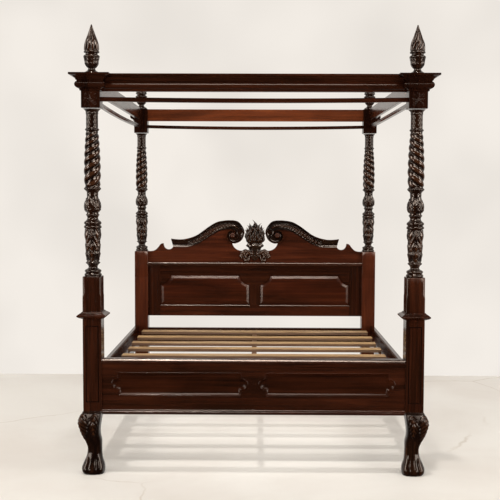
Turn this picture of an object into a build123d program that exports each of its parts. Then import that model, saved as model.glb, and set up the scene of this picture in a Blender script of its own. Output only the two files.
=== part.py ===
# Four poster canopy bed in mahogany, for a 5 ft (1500 x 2000) mattress.
# The origin is on the floor, under the middle of the bed's overall box.
# +X is to the right seen from the foot of the bed, +Y runs to the headboard, +Z is up.
import os

from build123d import *

os.makedirs("parts", exist_ok=True)

# Driving dimensions, in millimetres
post_spacing_x = 1660  # between post centres, across the bed
post_spacing_y = 2080  # between post centres, along the bed
post_width = 96
cornice_reach = 54  # how far the cornice stands out from a post's face
foot_top = 334
rail_top = 485
slat_top = 460
footboard_top = 606
collar_bottom = 813
front_joint = 849  # where a front post's column stands on its block
rear_joint = 840
turning_bottom = 1030
turning_top = 1890
capital_bottom = 1976
capital_top = 2062
headboard_bottom = 555
shelf_top = 949

# Smaller sizes
arris = 2.5  # rounding of the long edges that a hand touches
groove_depth = 2
dowel_radius = 15
dowel_half_length = 40
tenon_thickness = 14
tenon_length = 25
spigot_radius = 12
spigot_length = 55
spigot_clearance = 0.3
spigot_relief = 2  # empty depth under a spigot
board_arris = 1.5

# Post places
half_post = post_width / 2
overall_depth = post_spacing_y + post_width + cornice_reach
post_x = post_spacing_x / 2
front_y = -overall_depth / 2 + cornice_reach + half_post
rear_y = front_y + post_spacing_y
inner_x = post_x - half_post  # inner faces of the posts
corners = {
    "front_left": (-post_x, front_y),
    "front_right": (post_x, front_y),
    "rear_left": (-post_x, rear_y),
    "rear_right": (post_x, rear_y),
}


def save(piece, label):
    """Names a finished piece and writes its STEP file."""
    piece.part.label = label
    export_step(piece.part, f"parts/{label}.step")


def front_plane(x, y):
    """A plane that faces the foot of the bed, with its own axes along X and Z."""
    return Plane(origin=(x, y, 0), x_dir=(1, 0, 0), z_dir=(0, -1, 0))


def side_plane(x, y):
    """A plane that faces +X, with its own axes along Y and Z."""
    return Plane(origin=(x, y, 0), x_dir=(0, 1, 0), z_dir=(1, 0, 0))


def run(start, steps, side=1):
    """Lines and arcs from start. Each step is (rise, distance from the axis, bulge)."""
    at = start
    for rise, reach, bulge in steps:
        to = (side * reach, at[1] + rise)
        if bulge == 0:
            Line(at, to)
        else:
            middle = ((at[0] + to[0]) / 2 + side * bulge, (at[1] + to[1]) / 2)
            ThreePointArc(at, middle, to)
        at = to
    return at


def slab(low, high, **choices):
    """A plain board between two opposite corners, added to the part being built."""
    size = [b - a for a, b in zip(low, high)]
    middle = [(a + b) / 2 for a, b in zip(low, high)]
    with Locations(tuple(middle)):
        Box(*size, **choices)


# Turning of a post, from the top of its square block to the bottom of its top block.
# Each row is (rise, radius at its end, bulge of the arc, 0 for a straight run).
turning_base_radius = 42
base_rings = [(16, 40, 4), (4, 40, 0), (14, 38, 4), (5, 29, 0), (10, 23, -2), (11, 29, -1), (4, 32, 0)]
vase = [(12, 32, 4), (41, 38.5, -1), (12, 35.5, 0), (28, 39.5, -1), (18, 38, 0), (38, 44, 0), (34, 39.5, 0)]
cap_rings = [(3, 43, 0), (14, 43, 3), (4, 39, 0), (3, 41, 0), (13, 41, 3.5), (4, 38, 0), (16, 28, -3)]
leaf_bulb = [(8, 32, 0), (10, 32, 3.5), (6, 30, 0), (22, 44, 3), (30, 42, 2), (40, 30, -2), (6, 30, 0)]
rope = [(20, 38, -3), (14, 40, 4.5), (100, 43, 2), (186, 31.5, 2)]
neck_column = [(4, 33, 0), (12, 33, 3.5), (76, 31, 0), (22, 43, -5)]
post_turning = base_rings + vase + cap_rings + leaf_bulb + rope + neck_column
turned_height = sum(step[0] for step in post_turning)
assert turned_height == turning_top - turning_bottom, turned_height

# Turning of a finial, from the capital's top up
finial_base_radius = 38
finial_turning = [
    (13, 37, 2),
    (14, 18.5, -3),
    (5, 18.5, 0),
    (28, 36, 4),
    (12, 37, 0),
    (16, 42.5, 0),
    (10, 38, 2.5),
    (7, 31, 0),
    (3, 31, 0),
    (3, 39.5, 0),
    (9, 38, 1),
    (65, 24, 4),
    (69, 2, -1),
]

# Cornice profile: (rise, distance from the post's face, bulge)
cornice_start = 6
cornice_profile = [
    (8, 6, 0),
    (4, 14, 0),
    (34, 18, 12),
    (4, 18, 0),
    (2, 22, 0),
    (22, 47, -6),
    (2, cornice_reach, 0),
    (10, cornice_reach, 0),
]

# Collar profile round the joint of a front post
collar_start = 4
collar_profile = [(3, 10, 0), (9, 26, 2), (3, 27, 0), (3, 26, 0), (12, 8, 2), (6, 3, 0)]


# Front feet: a cabriole foot that bellies out at the knee and sweeps in to the ankle
# Each row is (height, width, offset towards the outer front corner, corner radius)
foot_sections = [
    (0, 114, 0, 40),
    (26, 124, 2, 42),
    (62, 100, -2, 40),
    (135, 80, -6, 34),
    (205, 102, 9, 32),
    (270, 122, 16, 26),
    (312, 106, 6, 12),
    (foot_top, post_width, 0, arris),
]
for side, sign in (("left", -1), ("right", 1)):
    with BuildPart() as foot:
        for height, width, offset, corner in foot_sections:
            with BuildSketch(Plane.XY.offset(height)):
                with Locations((sign * (post_x + offset), front_y - offset)):
                    RectangleRounded(width, width, corner)
        loft()
        with BuildSketch(Plane.XY.offset(foot_top)):
            with Locations((sign * post_x, front_y)):
                Circle(dowel_radius)
        extrude(amount=-dowel_half_length, mode=Mode.SUBTRACT)
    save(foot, f"front_foot_{side}")

# Blocks of the front posts, with a sunk line round a panel on the front and outer faces
panel_line_width = 66
panel_line_bottom = 380
panel_line_top = 776
line_thickness = 3
footboard_front = front_y - 40
footboard_back = front_y - 8
footboard_middle = (footboard_front + footboard_back) / 2
footboard_tenon = (380, 560)  # bottom and top
bolt_radius = 5
bolt_reach = 60  # into the post
bolt_height = 410
rail_outer = post_x + half_post
rail_thickness = 30
rail_inner = rail_outer - rail_thickness
rail_middle = (rail_outer + rail_inner) / 2
panel_line_middle = (panel_line_bottom + panel_line_top) / 2
panel_line_height = panel_line_top - panel_line_bottom
for side, sign in (("left", -1), ("right", 1)):
    with BuildPart() as block:
        with BuildSketch(Plane.XY.offset(foot_top)):
            with Locations((sign * post_x, front_y)):
                RectangleRounded(post_width, post_width, arris)
        extrude(amount=front_joint - foot_top)
        outer_face = side_plane(sign * rail_outer, front_y)
        for face, inward in ((front_plane(sign * post_x, front_y - half_post), -1), (outer_face, -sign)):
            with BuildSketch(face):
                with Locations((0, panel_line_middle)):
                    Rectangle(panel_line_width, panel_line_height)
                    Rectangle(
                        panel_line_width - 2 * line_thickness,
                        panel_line_height - 2 * line_thickness,
                        mode=Mode.SUBTRACT,
                    )
            extrude(amount=inward * groove_depth, mode=Mode.SUBTRACT)
        with Locations((sign * post_x, front_y, foot_top), (sign * post_x, front_y, front_joint)):
            Cylinder(dowel_radius, 2 * dowel_half_length, mode=Mode.SUBTRACT)
        tenon_end = inner_x + tenon_length
        slab(
            (min(sign * inner_x, sign * tenon_end), footboard_middle - tenon_thickness / 2, footboard_tenon[0]),
            (max(sign * inner_x, sign * tenon_end), footboard_middle + tenon_thickness / 2, footboard_tenon[1]),
            mode=Mode.SUBTRACT,
        )
        with Locations((sign * rail_middle, front_y + half_post, bolt_height)):
            Cylinder(bolt_radius, 2 * bolt_reach, rotation=(90, 0, 0), mode=Mode.SUBTRACT)
    save(block, f"front_post_block_{side}")


def moulded_block(x, y, start, start_height, profile, sides):
    """A block round a post's axis whose sides carry a moulding: sides are left, right, front, back as 0 or 1."""
    far = 4 * post_width
    top = start_height + sum(step[0] for step in profile)
    with BuildPart() as block:
        for plane, (low, high) in ((front_plane(x, y), sides[:2]), (side_plane(x, y), sides[2:])):
            with BuildSketch(plane) as section:
                with BuildLine():
                    for side, moulded in ((-1, low), (1, high)):
                        if moulded:
                            foot = (side * (half_post + start), start_height)
                            run(foot, [(rise, half_post + reach, bulge) for rise, reach, bulge in profile], side)
                        else:
                            foot = (side * half_post, start_height)
                            Line(foot, (side * half_post, top))
                    reach_low = half_post + (start if low else 0)
                    reach_high = half_post + (start if high else 0)
                    Line((-reach_low, start_height), (reach_high, start_height))
                    top_low = half_post + (profile[-1][1] if low else 0)
                    top_high = half_post + (profile[-1][1] if high else 0)
                    Line((-top_low, top), (top_high, top))
                make_face()
            first = plane.z_dir.Y != 0
            extrude(amount=far, both=True, mode=Mode.ADD if first else Mode.INTERSECT)
    return block


# Collar mouldings round the joints of the front posts
with BuildPart() as collars:
    for sign in (-1, 1):
        ring = moulded_block(sign * post_x, front_y, collar_start, collar_bottom, collar_profile, (1, 1, 1, 1))
        add(ring.part)
    with Locations((-post_x, front_y, collar_bottom), (post_x, front_y, collar_bottom)):
        Box(post_width, post_width, 4 * post_width, mode=Mode.SUBTRACT)
save(collars, "post_collars")

# Legs of the rear posts, plain squares from the floor to the joint
stile_tenon = (600, 820)
rear_rail_bottom = 344
rear_rail_top = 464
rear_rail_half = 14
rear_rail_shoulder = 20  # above and below the rear rail's tenons
headboard_front = rear_y - 24
headboard_back = rear_y + 8
headboard_middle = (headboard_front + headboard_back) / 2
for side, sign in (("left", -1), ("right", 1)):
    with BuildPart() as leg:
        with BuildSketch():
            with Locations((sign * post_x, rear_y)):
                RectangleRounded(post_width, post_width, arris)
        extrude(amount=rear_joint)
        with Locations((sign * post_x, rear_y, rear_joint)):
            Cylinder(dowel_radius, 2 * dowel_half_length, mode=Mode.SUBTRACT)
        near, far = sorted((sign * inner_x, sign * (inner_x + tenon_length)))
        slab(
            (near, headboard_middle - tenon_thickness / 2, stile_tenon[0]),
            (far, headboard_middle + tenon_thickness / 2, stile_tenon[1]),
            mode=Mode.SUBTRACT,
        )
        slab(
            (near, rear_y - tenon_thickness / 2, rear_rail_bottom + rear_rail_shoulder),
            (far, rear_y + tenon_thickness / 2, rear_rail_top - rear_rail_shoulder),
            mode=Mode.SUBTRACT,
        )
        with Locations((sign * rail_middle, rear_y - half_post, bolt_height)):
            Cylinder(bolt_radius, 2 * bolt_reach, rotation=(90, 0, 0), mode=Mode.SUBTRACT)
    save(leg, f"rear_leg_{side}")

# Upper posts: square foot, turned and carved column, square top block
curtain_rail_bottom = 1925
curtain_rail_height = 23
curtain_rail_width = 20
curtain_tenon = 12
stop_chamfer = 11  # corners taken off the front posts above their lamb's tongues
stop_height = 945
curtain_middle = curtain_rail_bottom + curtain_rail_height / 2
for corner, (x, y) in corners.items():
    at_front = y == front_y
    joint = front_joint if at_front else rear_joint
    with BuildPart() as column:
        with BuildSketch(Plane.XY.offset(joint)):
            with Locations((x, y)):
                RectangleRounded(post_width, post_width, arris)
        extrude(amount=(stop_height if at_front else turning_bottom) - joint)
        if at_front:
            with BuildSketch(Plane.XY.offset(stop_height)) as octagon:
                with Locations((x, y)):
                    Rectangle(post_width, post_width)
                chamfer(octagon.vertices(), stop_chamfer)
            extrude(amount=turning_bottom - stop_height)
        with BuildSketch(front_plane(x, y)):
            with BuildLine():
                first = (turning_base_radius, turning_bottom)
                last = run(first, post_turning)
                Polyline(last, (0, last[1]), (0, turning_bottom), first)
            make_face()
        revolve(axis=Axis((x, y, 0), (0, 0, 1)))
        with BuildSketch(Plane.XY.offset(turning_top)):
            with Locations((x, y)):
                RectangleRounded(post_width, post_width, arris)
        extrude(amount=capital_bottom - turning_top)
        with Locations((x, y, joint)):
            Cylinder(dowel_radius, 2 * dowel_half_length, mode=Mode.SUBTRACT)
        inward_x = -half_post if x > 0 else half_post
        inward_y = half_post if at_front else -half_post
        with Locations((x + inward_x, y, curtain_middle)):
            Box(2 * curtain_tenon, curtain_rail_width, curtain_rail_height, mode=Mode.SUBTRACT)
        with Locations((x, y + inward_y, curtain_middle)):
            Box(curtain_rail_width, 2 * curtain_tenon, curtain_rail_height, mode=Mode.SUBTRACT)
    save(column, f"upper_post_{corner}")

# Capitals on the posts, bored for the finials and mortised for the tester boards
board_thickness = 20
front_board_set_back = 2
front_board_front = front_y + front_board_set_back
front_board_back = front_board_front + board_thickness
rear_board_front = rear_y - board_thickness / 2
board_tenon = 20
board_shoulder = 16
board_tenon_bottom = capital_bottom + board_shoulder
board_tenon_top = capital_top - board_shoulder
tenon_cheek = 12
capital_pieces = {}
for corner, (x, y) in corners.items():
    at_front = y == front_y
    on_right = x > 0
    if at_front:
        sides = (1, 1, 1, 0)
    else:
        sides = (0, 1, 0, 0) if on_right else (1, 0, 0, 0)
    with BuildPart() as capital:
        add(moulded_block(x, y, cornice_start, capital_bottom, cornice_profile, sides).part)
        inner_face = x - half_post if on_right else x + half_post
        outwards = 1 if on_right else -1
        if at_front:
            cut = sorted((inner_face, inner_face - outwards * 2 * cornice_reach))
            slab(
                (cut[0], front_board_front, capital_bottom),
                (cut[1], y + half_post, capital_top),
                mode=Mode.SUBTRACT,
            )
        board_y = (front_board_front if at_front else rear_board_front) + board_thickness / 2
        mortise = sorted((inner_face, inner_face + outwards * board_tenon))
        slab(
            (mortise[0], board_y - tenon_cheek / 2, board_tenon_bottom),
            (mortise[1], board_y + tenon_cheek / 2, board_tenon_top),
            mode=Mode.SUBTRACT,
        )
        facing = 1 if at_front else -1
        mortise = sorted((y + facing * half_post, y + facing * (half_post - board_tenon)))
        slab(
            (x - tenon_cheek / 2, mortise[0], board_tenon_bottom),
            (x + tenon_cheek / 2, mortise[1], board_tenon_top),
            mode=Mode.SUBTRACT,
        )
        with BuildSketch(Plane.XY.offset(capital_top)):
            with Locations((x, y)):
                Circle(spigot_radius + spigot_clearance)
        extrude(amount=-spigot_length - spigot_relief, mode=Mode.SUBTRACT)
    save(capital, f"capital_{corner}")
    capital_pieces[corner] = capital.part

# Finials: a carved cup and a ribbed flame on a spigot that drops into the capital
for corner, (x, y) in corners.items():
    with BuildPart() as finial:
        with BuildSketch(front_plane(x, y)):
            with BuildLine():
                tip = run((finial_base_radius, capital_top), finial_turning)
                spigot_end = capital_top - spigot_length
                Polyline(
                    tip,
                    (0, tip[1]),
                    (0, spigot_end),
                    (spigot_radius, spigot_end),
                    (spigot_radius, capital_top),
                    (finial_base_radius, capital_top),
                )
            make_face()
        revolve(axis=Axis((x, y, 0), (0, 0, 1)))
    save(finial, f"finial_{corner}")

# Tester: a board on each side between the capitals, and a cornice in front of the front one
for name, board_y in (("front", front_board_front), ("rear", rear_board_front)):
    middle = board_y + board_thickness / 2
    with BuildPart() as board:
        slab((-inner_x, board_y, capital_bottom), (inner_x, board_y + board_thickness, capital_top))
        fillet(board.edges().filter_by(Axis.X), board_arris)
        slab(
            (-inner_x - board_tenon, middle - tenon_cheek / 2, board_tenon_bottom),
            (inner_x + board_tenon, middle + tenon_cheek / 2, board_tenon_top),
        )
    save(board, f"tester_board_{name}")
side_board_start = front_y + half_post
side_board_end = rear_y - half_post
for side, sign in (("left", -1), ("right", 1)):
    x = sign * post_x
    with BuildPart() as board:
        slab(
            (x - board_thickness / 2, side_board_start, capital_bottom),
            (x + board_thickness / 2, side_board_end, capital_top),
        )
        fillet(board.edges().filter_by(Axis.Y), board_arris)
        slab(
            (x - tenon_cheek / 2, side_board_start - board_tenon, board_tenon_bottom),
            (x + tenon_cheek / 2, side_board_end + board_tenon, board_tenon_top),
        )
    save(board, f"tester_board_{side}")
with BuildPart() as cornice:
    with BuildSketch(side_plane(0, front_board_front)):
        with BuildLine():
            end = run((-cornice_start, capital_bottom), cornice_profile, side=-1)
            Polyline(end, (0, capital_top), (0, capital_bottom), (-cornice_start, capital_bottom))
        make_face()
    extrude(amount=inner_x, both=True)
    add(capital_pieces["front_left"], mode=Mode.SUBTRACT)
    add(capital_pieces["front_right"], mode=Mode.SUBTRACT)
save(cornice, "front_cornice")

# Curtain rails: slim rails with a groove along each face, let into the posts' top blocks
rail_groove = 3
side_rail_run = side_board_end - side_board_start + 2 * curtain_tenon
cross_rail_run = 2 * (inner_x + curtain_tenon)
rail_starts = [
    (front_plane(-post_x, side_board_end + curtain_tenon), side_rail_run),
    (front_plane(post_x, side_board_end + curtain_tenon), side_rail_run),
    (side_plane(-inner_x - curtain_tenon, front_y), cross_rail_run),
    (side_plane(-inner_x - curtain_tenon, rear_y), cross_rail_run),
]
with BuildPart() as curtain_rails:
    for plane, length in rail_starts:
        with BuildSketch(plane):
            with Locations((0, curtain_middle)):
                Rectangle(curtain_rail_width, curtain_rail_height)
            edge = curtain_rail_width / 2
            with Locations((-edge, curtain_middle), (edge, curtain_middle)):
                Rectangle(rail_groove, rail_groove, rotation=45, mode=Mode.SUBTRACT)
        extrude(amount=length)
save(curtain_rails, "curtain_rails")

# Headboard frame: two rails, two stiles and a muntin round two raised panels
panel_bottom = 635
panel_top = 855
headboard_rail_top = 925
panel_inner = 35
panel_outer = 693
corner_bite = (76, 70)  # hollow taken out of the panels' upper corners, along X and Z
panel_plate = 12
field_rise = 9
field_taper = 70  # degrees
panel_rebate = 6
panel_back = headboard_back - panel_rebate
bite_dip = 0.34  # share of a bite that its hollow leaves beyond its middle


def panel_outline(sign):
    """Outline of a headboard panel with its two upper corners hollowed."""
    low, high = sorted((sign * panel_inner, sign * panel_outer))
    bite_x, bite_z = corner_bite
    shoulder = panel_top - bite_z
    Polyline((low, shoulder), (low, panel_bottom), (high, panel_bottom), (high, shoulder))
    ThreePointArc(
        (high, shoulder),
        (high - (1 - bite_dip) * bite_x, shoulder + bite_dip * bite_z),
        (high - bite_x, panel_top),
    )
    Line((high - bite_x, panel_top), (low + bite_x, panel_top))
    ThreePointArc(
        (low + bite_x, panel_top),
        (low + (1 - bite_dip) * bite_x, shoulder + bite_dip * bite_z),
        (low, shoulder),
    )


with BuildPart() as bottom_rail:
    slab((-panel_outer, headboard_front, headboard_bottom), (panel_outer, headboard_back, panel_bottom))
save(bottom_rail, "headboard_bottom_rail")
with BuildPart() as top_rail:
    slab(
        (-panel_outer, headboard_front, panel_top - corner_bite[1]),
        (panel_outer, headboard_back, headboard_rail_top),
    )
    for sign in (-1, 1):
        with BuildSketch(front_plane(0, headboard_back)):
            with BuildLine():
                panel_outline(sign)
            make_face()
        extrude(amount=headboard_back - headboard_front, mode=Mode.SUBTRACT)
save(top_rail, "headboard_top_rail")
with BuildPart() as stiles:
    for sign in (-1, 1):
        near, far = sorted((sign * panel_outer, sign * inner_x))
        slab((near, headboard_front, headboard_bottom), (far, headboard_back, headboard_rail_top))
        near, far = sorted((sign * inner_x, sign * (inner_x + tenon_length)))
        slab(
            (near, headboard_middle - tenon_thickness / 2, stile_tenon[0]),
            (far, headboard_middle + tenon_thickness / 2, stile_tenon[1]),
        )
save(stiles, "headboard_stiles")
with BuildPart() as muntin:
    slab(
        (-panel_inner, headboard_front, panel_bottom),
        (panel_inner, headboard_back, panel_top - corner_bite[1]),
    )
save(muntin, "headboard_muntin")
with BuildPart() as headboard_panels:
    for sign in (-1, 1):
        with BuildSketch(front_plane(0, panel_back)):
            with BuildLine():
                panel_outline(sign)
            make_face()
        extrude(amount=panel_plate)
        with BuildSketch(front_plane(0, panel_back - panel_plate)):
            with BuildLine():
                panel_outline(sign)
            make_face()
        extrude(amount=field_rise, taper=field_taper)
save(headboard_panels, "headboard_panels")

# Shelf moulding between the headboard frame and the crest
shelf_front = rear_y - 58
shelf_back = rear_y + 14
shelf_nosing = 7
with BuildPart() as shelf:
    slab((-inner_x, shelf_front, headboard_rail_top), (inner_x, shelf_back, shelf_top))
    fillet(shelf.edges().filter_by(Axis.X).group_by(Axis.Y)[0], shelf_nosing)
save(shelf, "headboard_shelf")

# Crest: a shaped board with a swan neck each side of a flaming urn
crest_front = rear_y - 10
crest_thickness = 24
neck_depth = 22
neck_slope = 8  # how far the neck's lower edge lies nearer the middle
neck_rise = [(613, 1120), (520, 1117), (440, 1140), (340, 1200), (255, 1243), (190, 1254)]
neck_width = 56
scroll_centre = (167, 1174)
scroll_radius = 80
eye_centre = (163, 1148)
eye_radius = 38
eye_height = 10
eye_rounding = 6
cradle = (98, 1033)  # where the hollow under a scroll meets the flat below the urn
cradle_hollow = (146, 1052)
shoulder_end = 1028  # height of the crest's outer end
shoulder_curve = [(735, 1035), (700, 1070)]
shoulder_peak = (671, 1086)
notch = [(668, 1070), (634, 1041), (600, 1062)]  # a round notch beside the swan neck's point


def crest_half(sign):
    """Upper edge of half the crest, from the post to the flat under the urn, and the edges that close it."""
    def at(x, z):
        return (sign * x, z)

    end = at(inner_x, shoulder_end)
    peak = at(*shoulder_peak)
    notch_out, notch_floor, notch_in = (at(*point) for point in notch)
    hollow = at(*cradle)
    scroll_x, scroll_z = scroll_centre
    scroll_bottom = at(scroll_x, scroll_z - scroll_radius)
    Spline(end, *[at(*point) for point in shoulder_curve], peak, tangents=((-sign, 0), (-sign, 0)))
    Line(peak, notch_out)
    ThreePointArc(notch_out, notch_floor, notch_in)
    Line(notch_in, at(*neck_rise[0]))
    Spline(*[at(*point) for point in neck_rise])
    ThreePointArc(at(*neck_rise[-1]), at(scroll_x - scroll_radius, scroll_z), scroll_bottom)
    ThreePointArc(scroll_bottom, at(*cradle_hollow), hollow)
    Polyline(hollow, at(0, cradle[1]), at(0, shelf_top), at(inner_x, shelf_top), end)


with BuildPart() as crest:
    for sign in (-1, 1):
        with BuildSketch(front_plane(0, crest_front)):
            with BuildLine():
                crest_half(sign)
            make_face()
        extrude(amount=-crest_thickness)
save(crest, "headboard_crest")

for side, sign in (("left", -1), ("right", 1)):
    with BuildPart() as neck:
        with BuildSketch(front_plane(0, crest_front)):
            with BuildLine():
                upper = [(sign * x, z) for x, z in neck_rise]
                lower = [(sign * (x - neck_slope), z - neck_width) for x, z in neck_rise]
                Spline(*upper)
                Line(upper[-1], lower[-1])
                Spline(*reversed(lower))
                Line(lower[0], upper[0])
            make_face()
            with Locations((sign * scroll_centre[0], scroll_centre[1])):
                Circle(scroll_radius)
        extrude(amount=neck_depth)
    save(neck, f"swan_neck_{side}")
with BuildPart() as rosettes:
    for sign in (-1, 1):
        with BuildSketch(front_plane(sign * eye_centre[0], crest_front - neck_depth)):
            with Locations((0, eye_centre[1])):
                Circle(eye_radius)
        extrude(amount=eye_height)
    fillet(rosettes.edges().filter_by(GeomType.CIRCLE).group_by(Axis.Y)[0], eye_rounding)
save(rosettes, "scroll_rosettes")

# Urn and flame carved in front of the crest, flat at the back
urn_depth = 42
urn_outline = [(8, 967), (24, 985), (34, 1010), (42, 1040), (48, 1058), (64, 1068), (64, 1076), (50, 1090)]
flame_outline = [(50, 1090), (60, 1110), (68, 1150), (56, 1185), (38, 1215), (22, 1238), (4, 1262)]
leaf_outline = [(30, 975), (108, 972), (110, 1000), (70, 1034), (44, 1034), (36, 1005)]
leaf_depth = 18
for name, half_outline in (("crest_urn", urn_outline), ("crest_flame", flame_outline)):
    with BuildPart() as carving:
        with BuildSketch(front_plane(0, crest_front)):
            with BuildLine():
                right = [(x, z) for x, z in half_outline]
                left = [(-x, z) for x, z in reversed(half_outline)]
                Polyline(*right, *left, close=True)
            make_face()
        extrude(amount=urn_depth)
    save(carving, name)
    if name == "crest_urn":
        urn_part = carving.part
with BuildPart() as leaves:
    for sign in (-1, 1):
        with BuildSketch(front_plane(0, crest_front)):
            with BuildLine():
                Polyline(*[(sign * x, z) for x, z in leaf_outline], close=True)
            make_face()
        extrude(amount=leaf_depth)
    add(urn_part, mode=Mode.SUBTRACT)
save(leaves, "crest_leaves")

# Rear cross rail under the headboard
bearer_width = 32
bearer_bottom = 380
slat_thickness = 20
slat_bottom = slat_top - slat_thickness
rear_rail_front = rear_y - rear_rail_half
bearer_tenon = 10
with BuildPart() as rear_rail:
    slab((-inner_x, rear_rail_front, rear_rail_bottom), (inner_x, rear_y + rear_rail_half, rear_rail_top))
    fillet(rear_rail.edges().filter_by(Axis.X), arris)
    slab(
        (-inner_x - tenon_length, rear_y - tenon_thickness / 2, rear_rail_bottom + rear_rail_shoulder),
        (inner_x + tenon_length, rear_y + tenon_thickness / 2, rear_rail_top - rear_rail_shoulder),
    )
    slab(
        (-bearer_width / 2, rear_rail_front, bearer_bottom),
        (bearer_width / 2, rear_rail_front + bearer_tenon, slat_bottom),
        mode=Mode.SUBTRACT,
    )
save(rear_rail, "rear_cross_rail")

# Footboard: a frame with two lobed openings, sunk panels behind, a cap and a base moulding
footboard_cap_bottom = 585
base_moulding_bottom = 316
base_moulding_top = 342
base_moulding_start = 2
base_moulding_profile = [(15, 8, 4), (3, 5, 0), (8, 3, 3)]  # (rise, distance from the face, bulge)
opening_inner = 63
opening_outer = 697
opening_bottom = 412
opening_top = 532
lobe_radius = 30
lobe_height = (opening_bottom + opening_top) / 2
frame_thickness = footboard_back - footboard_front
sunk_depth = 12
panel_lip = 4
cap_reach = 6
cap_nosing = 8
cap_rounding = 4


def lobed_opening(sign):
    """A long opening with a half round lobe at each end."""
    middle = sign * (opening_inner + opening_outer) / 2
    with Locations((middle, lobe_height)):
        Rectangle(opening_outer - opening_inner, opening_top - opening_bottom)
    with Locations((sign * opening_inner, lobe_height), (sign * opening_outer, lobe_height)):
        Circle(lobe_radius)


with BuildPart() as footboard:
    slab(
        (-inner_x, footboard_front, base_moulding_top),
        (inner_x, footboard_back, footboard_cap_bottom),
    )
    with BuildSketch(front_plane(0, footboard_back)):
        lobed_opening(-1)
        lobed_opening(1)
    extrude(amount=frame_thickness, mode=Mode.SUBTRACT)
    for sign in (-1, 1):
        near, far = sorted((sign * inner_x, sign * (inner_x + tenon_length)))
        slab(
            (near, footboard_middle - tenon_thickness / 2, footboard_tenon[0]),
            (far, footboard_middle + tenon_thickness / 2, footboard_tenon[1]),
        )
    slab(
        (-bearer_width / 2, footboard_back - bearer_tenon, bearer_bottom),
        (bearer_width / 2, footboard_back, slat_bottom),
        mode=Mode.SUBTRACT,
    )
save(footboard, "footboard_frame")
with BuildPart() as footboard_panels:
    with BuildSketch(front_plane(0, footboard_back - panel_lip)):
        lobed_opening(-1)
        lobed_opening(1)
    extrude(amount=frame_thickness - panel_lip - sunk_depth)
save(footboard_panels, "footboard_panels")
cap_front = footboard_front - cap_reach
cap_back = footboard_back + cap_reach
with BuildPart() as cap:
    slab((-inner_x, cap_front, footboard_cap_bottom), (inner_x, cap_back, footboard_top))
    fillet(cap.edges().filter_by(Axis.X).group_by(Axis.Z)[-1], cap_nosing)
    fillet(cap.edges().filter_by(Axis.X).group_by(Axis.Z)[0], cap_rounding)
save(cap, "footboard_cap")
with BuildPart() as base_moulding:
    with BuildSketch(side_plane(0, footboard_front)):
        with BuildLine():
            start = (-base_moulding_start, base_moulding_bottom)
            end = run(start, base_moulding_profile, side=-1)
            Polyline(end, (frame_thickness, base_moulding_top), (frame_thickness, base_moulding_bottom), start)
        make_face()
    extrude(amount=inner_x, both=True)
save(base_moulding, "footboard_base_moulding")

# Side rails with a moulded top edge, bolted to the posts from a pocket in the inner face
rail_bottom = 335
nut_radius = 9
nut_thickness = 10
nut_seat = 50  # from the rail's end to the nut
pocket_length = 34
pocket_height = 24
pocket_depth = 24
stud_end = nut_seat + 22  # how far a bolt reaches into the rail
rail_moulding = 6
for side, sign in (("left", -1), ("right", 1)):
    low, high = sorted((sign * rail_inner, sign * rail_outer))
    with BuildPart() as rail:
        slab((low, side_board_start, rail_bottom), (high, side_board_end, rail_top))
        fillet(rail.edges().filter_by(Axis.Y).group_by(Axis.Z)[-1], rail_moulding)
        near, far = sorted((sign * rail_inner, sign * (rail_inner + pocket_depth)))
        for end, inward in ((side_board_start, 1), (side_board_end, -1)):
            with Locations((sign * rail_middle, end, bolt_height)):
                Cylinder(bolt_radius, 2 * stud_end, rotation=(90, 0, 0), mode=Mode.SUBTRACT)
            pocket = sorted((end + inward * nut_seat, end + inward * (nut_seat + pocket_length)))
            slab(
                (near, pocket[0], bolt_height - pocket_height / 2),
                (far, pocket[1], bolt_height + pocket_height / 2),
                mode=Mode.SUBTRACT,
            )
    save(rail, f"side_rail_{side}")
with BuildPart() as bolts:
    for x in (-rail_middle, rail_middle):
        for end, inward in ((side_board_start, 1), (side_board_end, -1)):
            with Locations((x, end + inward * (stud_end - bolt_reach) / 2, bolt_height)):
                Cylinder(bolt_radius, bolt_reach + stud_end, rotation=(90, 0, 0))
save(bolts, "bed_bolts")
with BuildPart() as nuts:
    for x in (-rail_middle, rail_middle):
        for end, inward in ((side_board_start, 1), (side_board_end, -1)):
            with Locations((x, end + inward * (nut_seat + nut_thickness / 2), bolt_height)):
                Cylinder(nut_radius, nut_thickness, rotation=(90, 0, 0))
                Cylinder(bolt_radius, nut_thickness, rotation=(90, 0, 0), mode=Mode.SUBTRACT)
save(nuts, "bed_bolt_nuts")

# Dowels between the feet, blocks and columns of the posts
with BuildPart() as dowels:
    for x, y in corners.values():
        at_front = y == front_y
        heights = (foot_top, front_joint) if at_front else (rear_joint,)
        for height in heights:
            with Locations((x, y, height)):
                Cylinder(dowel_radius, 2 * dowel_half_length)
save(dowels, "post_dowels")

# Ledgers inside the side rails, and the bearer down the middle
ledger_reach = 54
ledger_height = 40
ledger_gap = 12
with BuildPart() as ledgers:
    for sign in (-1, 1):
        low, high = sorted((sign * (rail_inner - ledger_reach), sign * rail_inner))
        slab(
            (low, side_board_start + ledger_gap, slat_bottom - ledger_height),
            (high, side_board_end - ledger_gap, slat_bottom),
        )
save(ledgers, "slat_ledgers")
with BuildPart() as bearer:
    slab(
        (-bearer_width / 2, footboard_back - bearer_tenon, bearer_bottom),
        (bearer_width / 2, rear_rail_front + bearer_tenon, slat_bottom),
    )
save(bearer, "centre_bearer")

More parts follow.
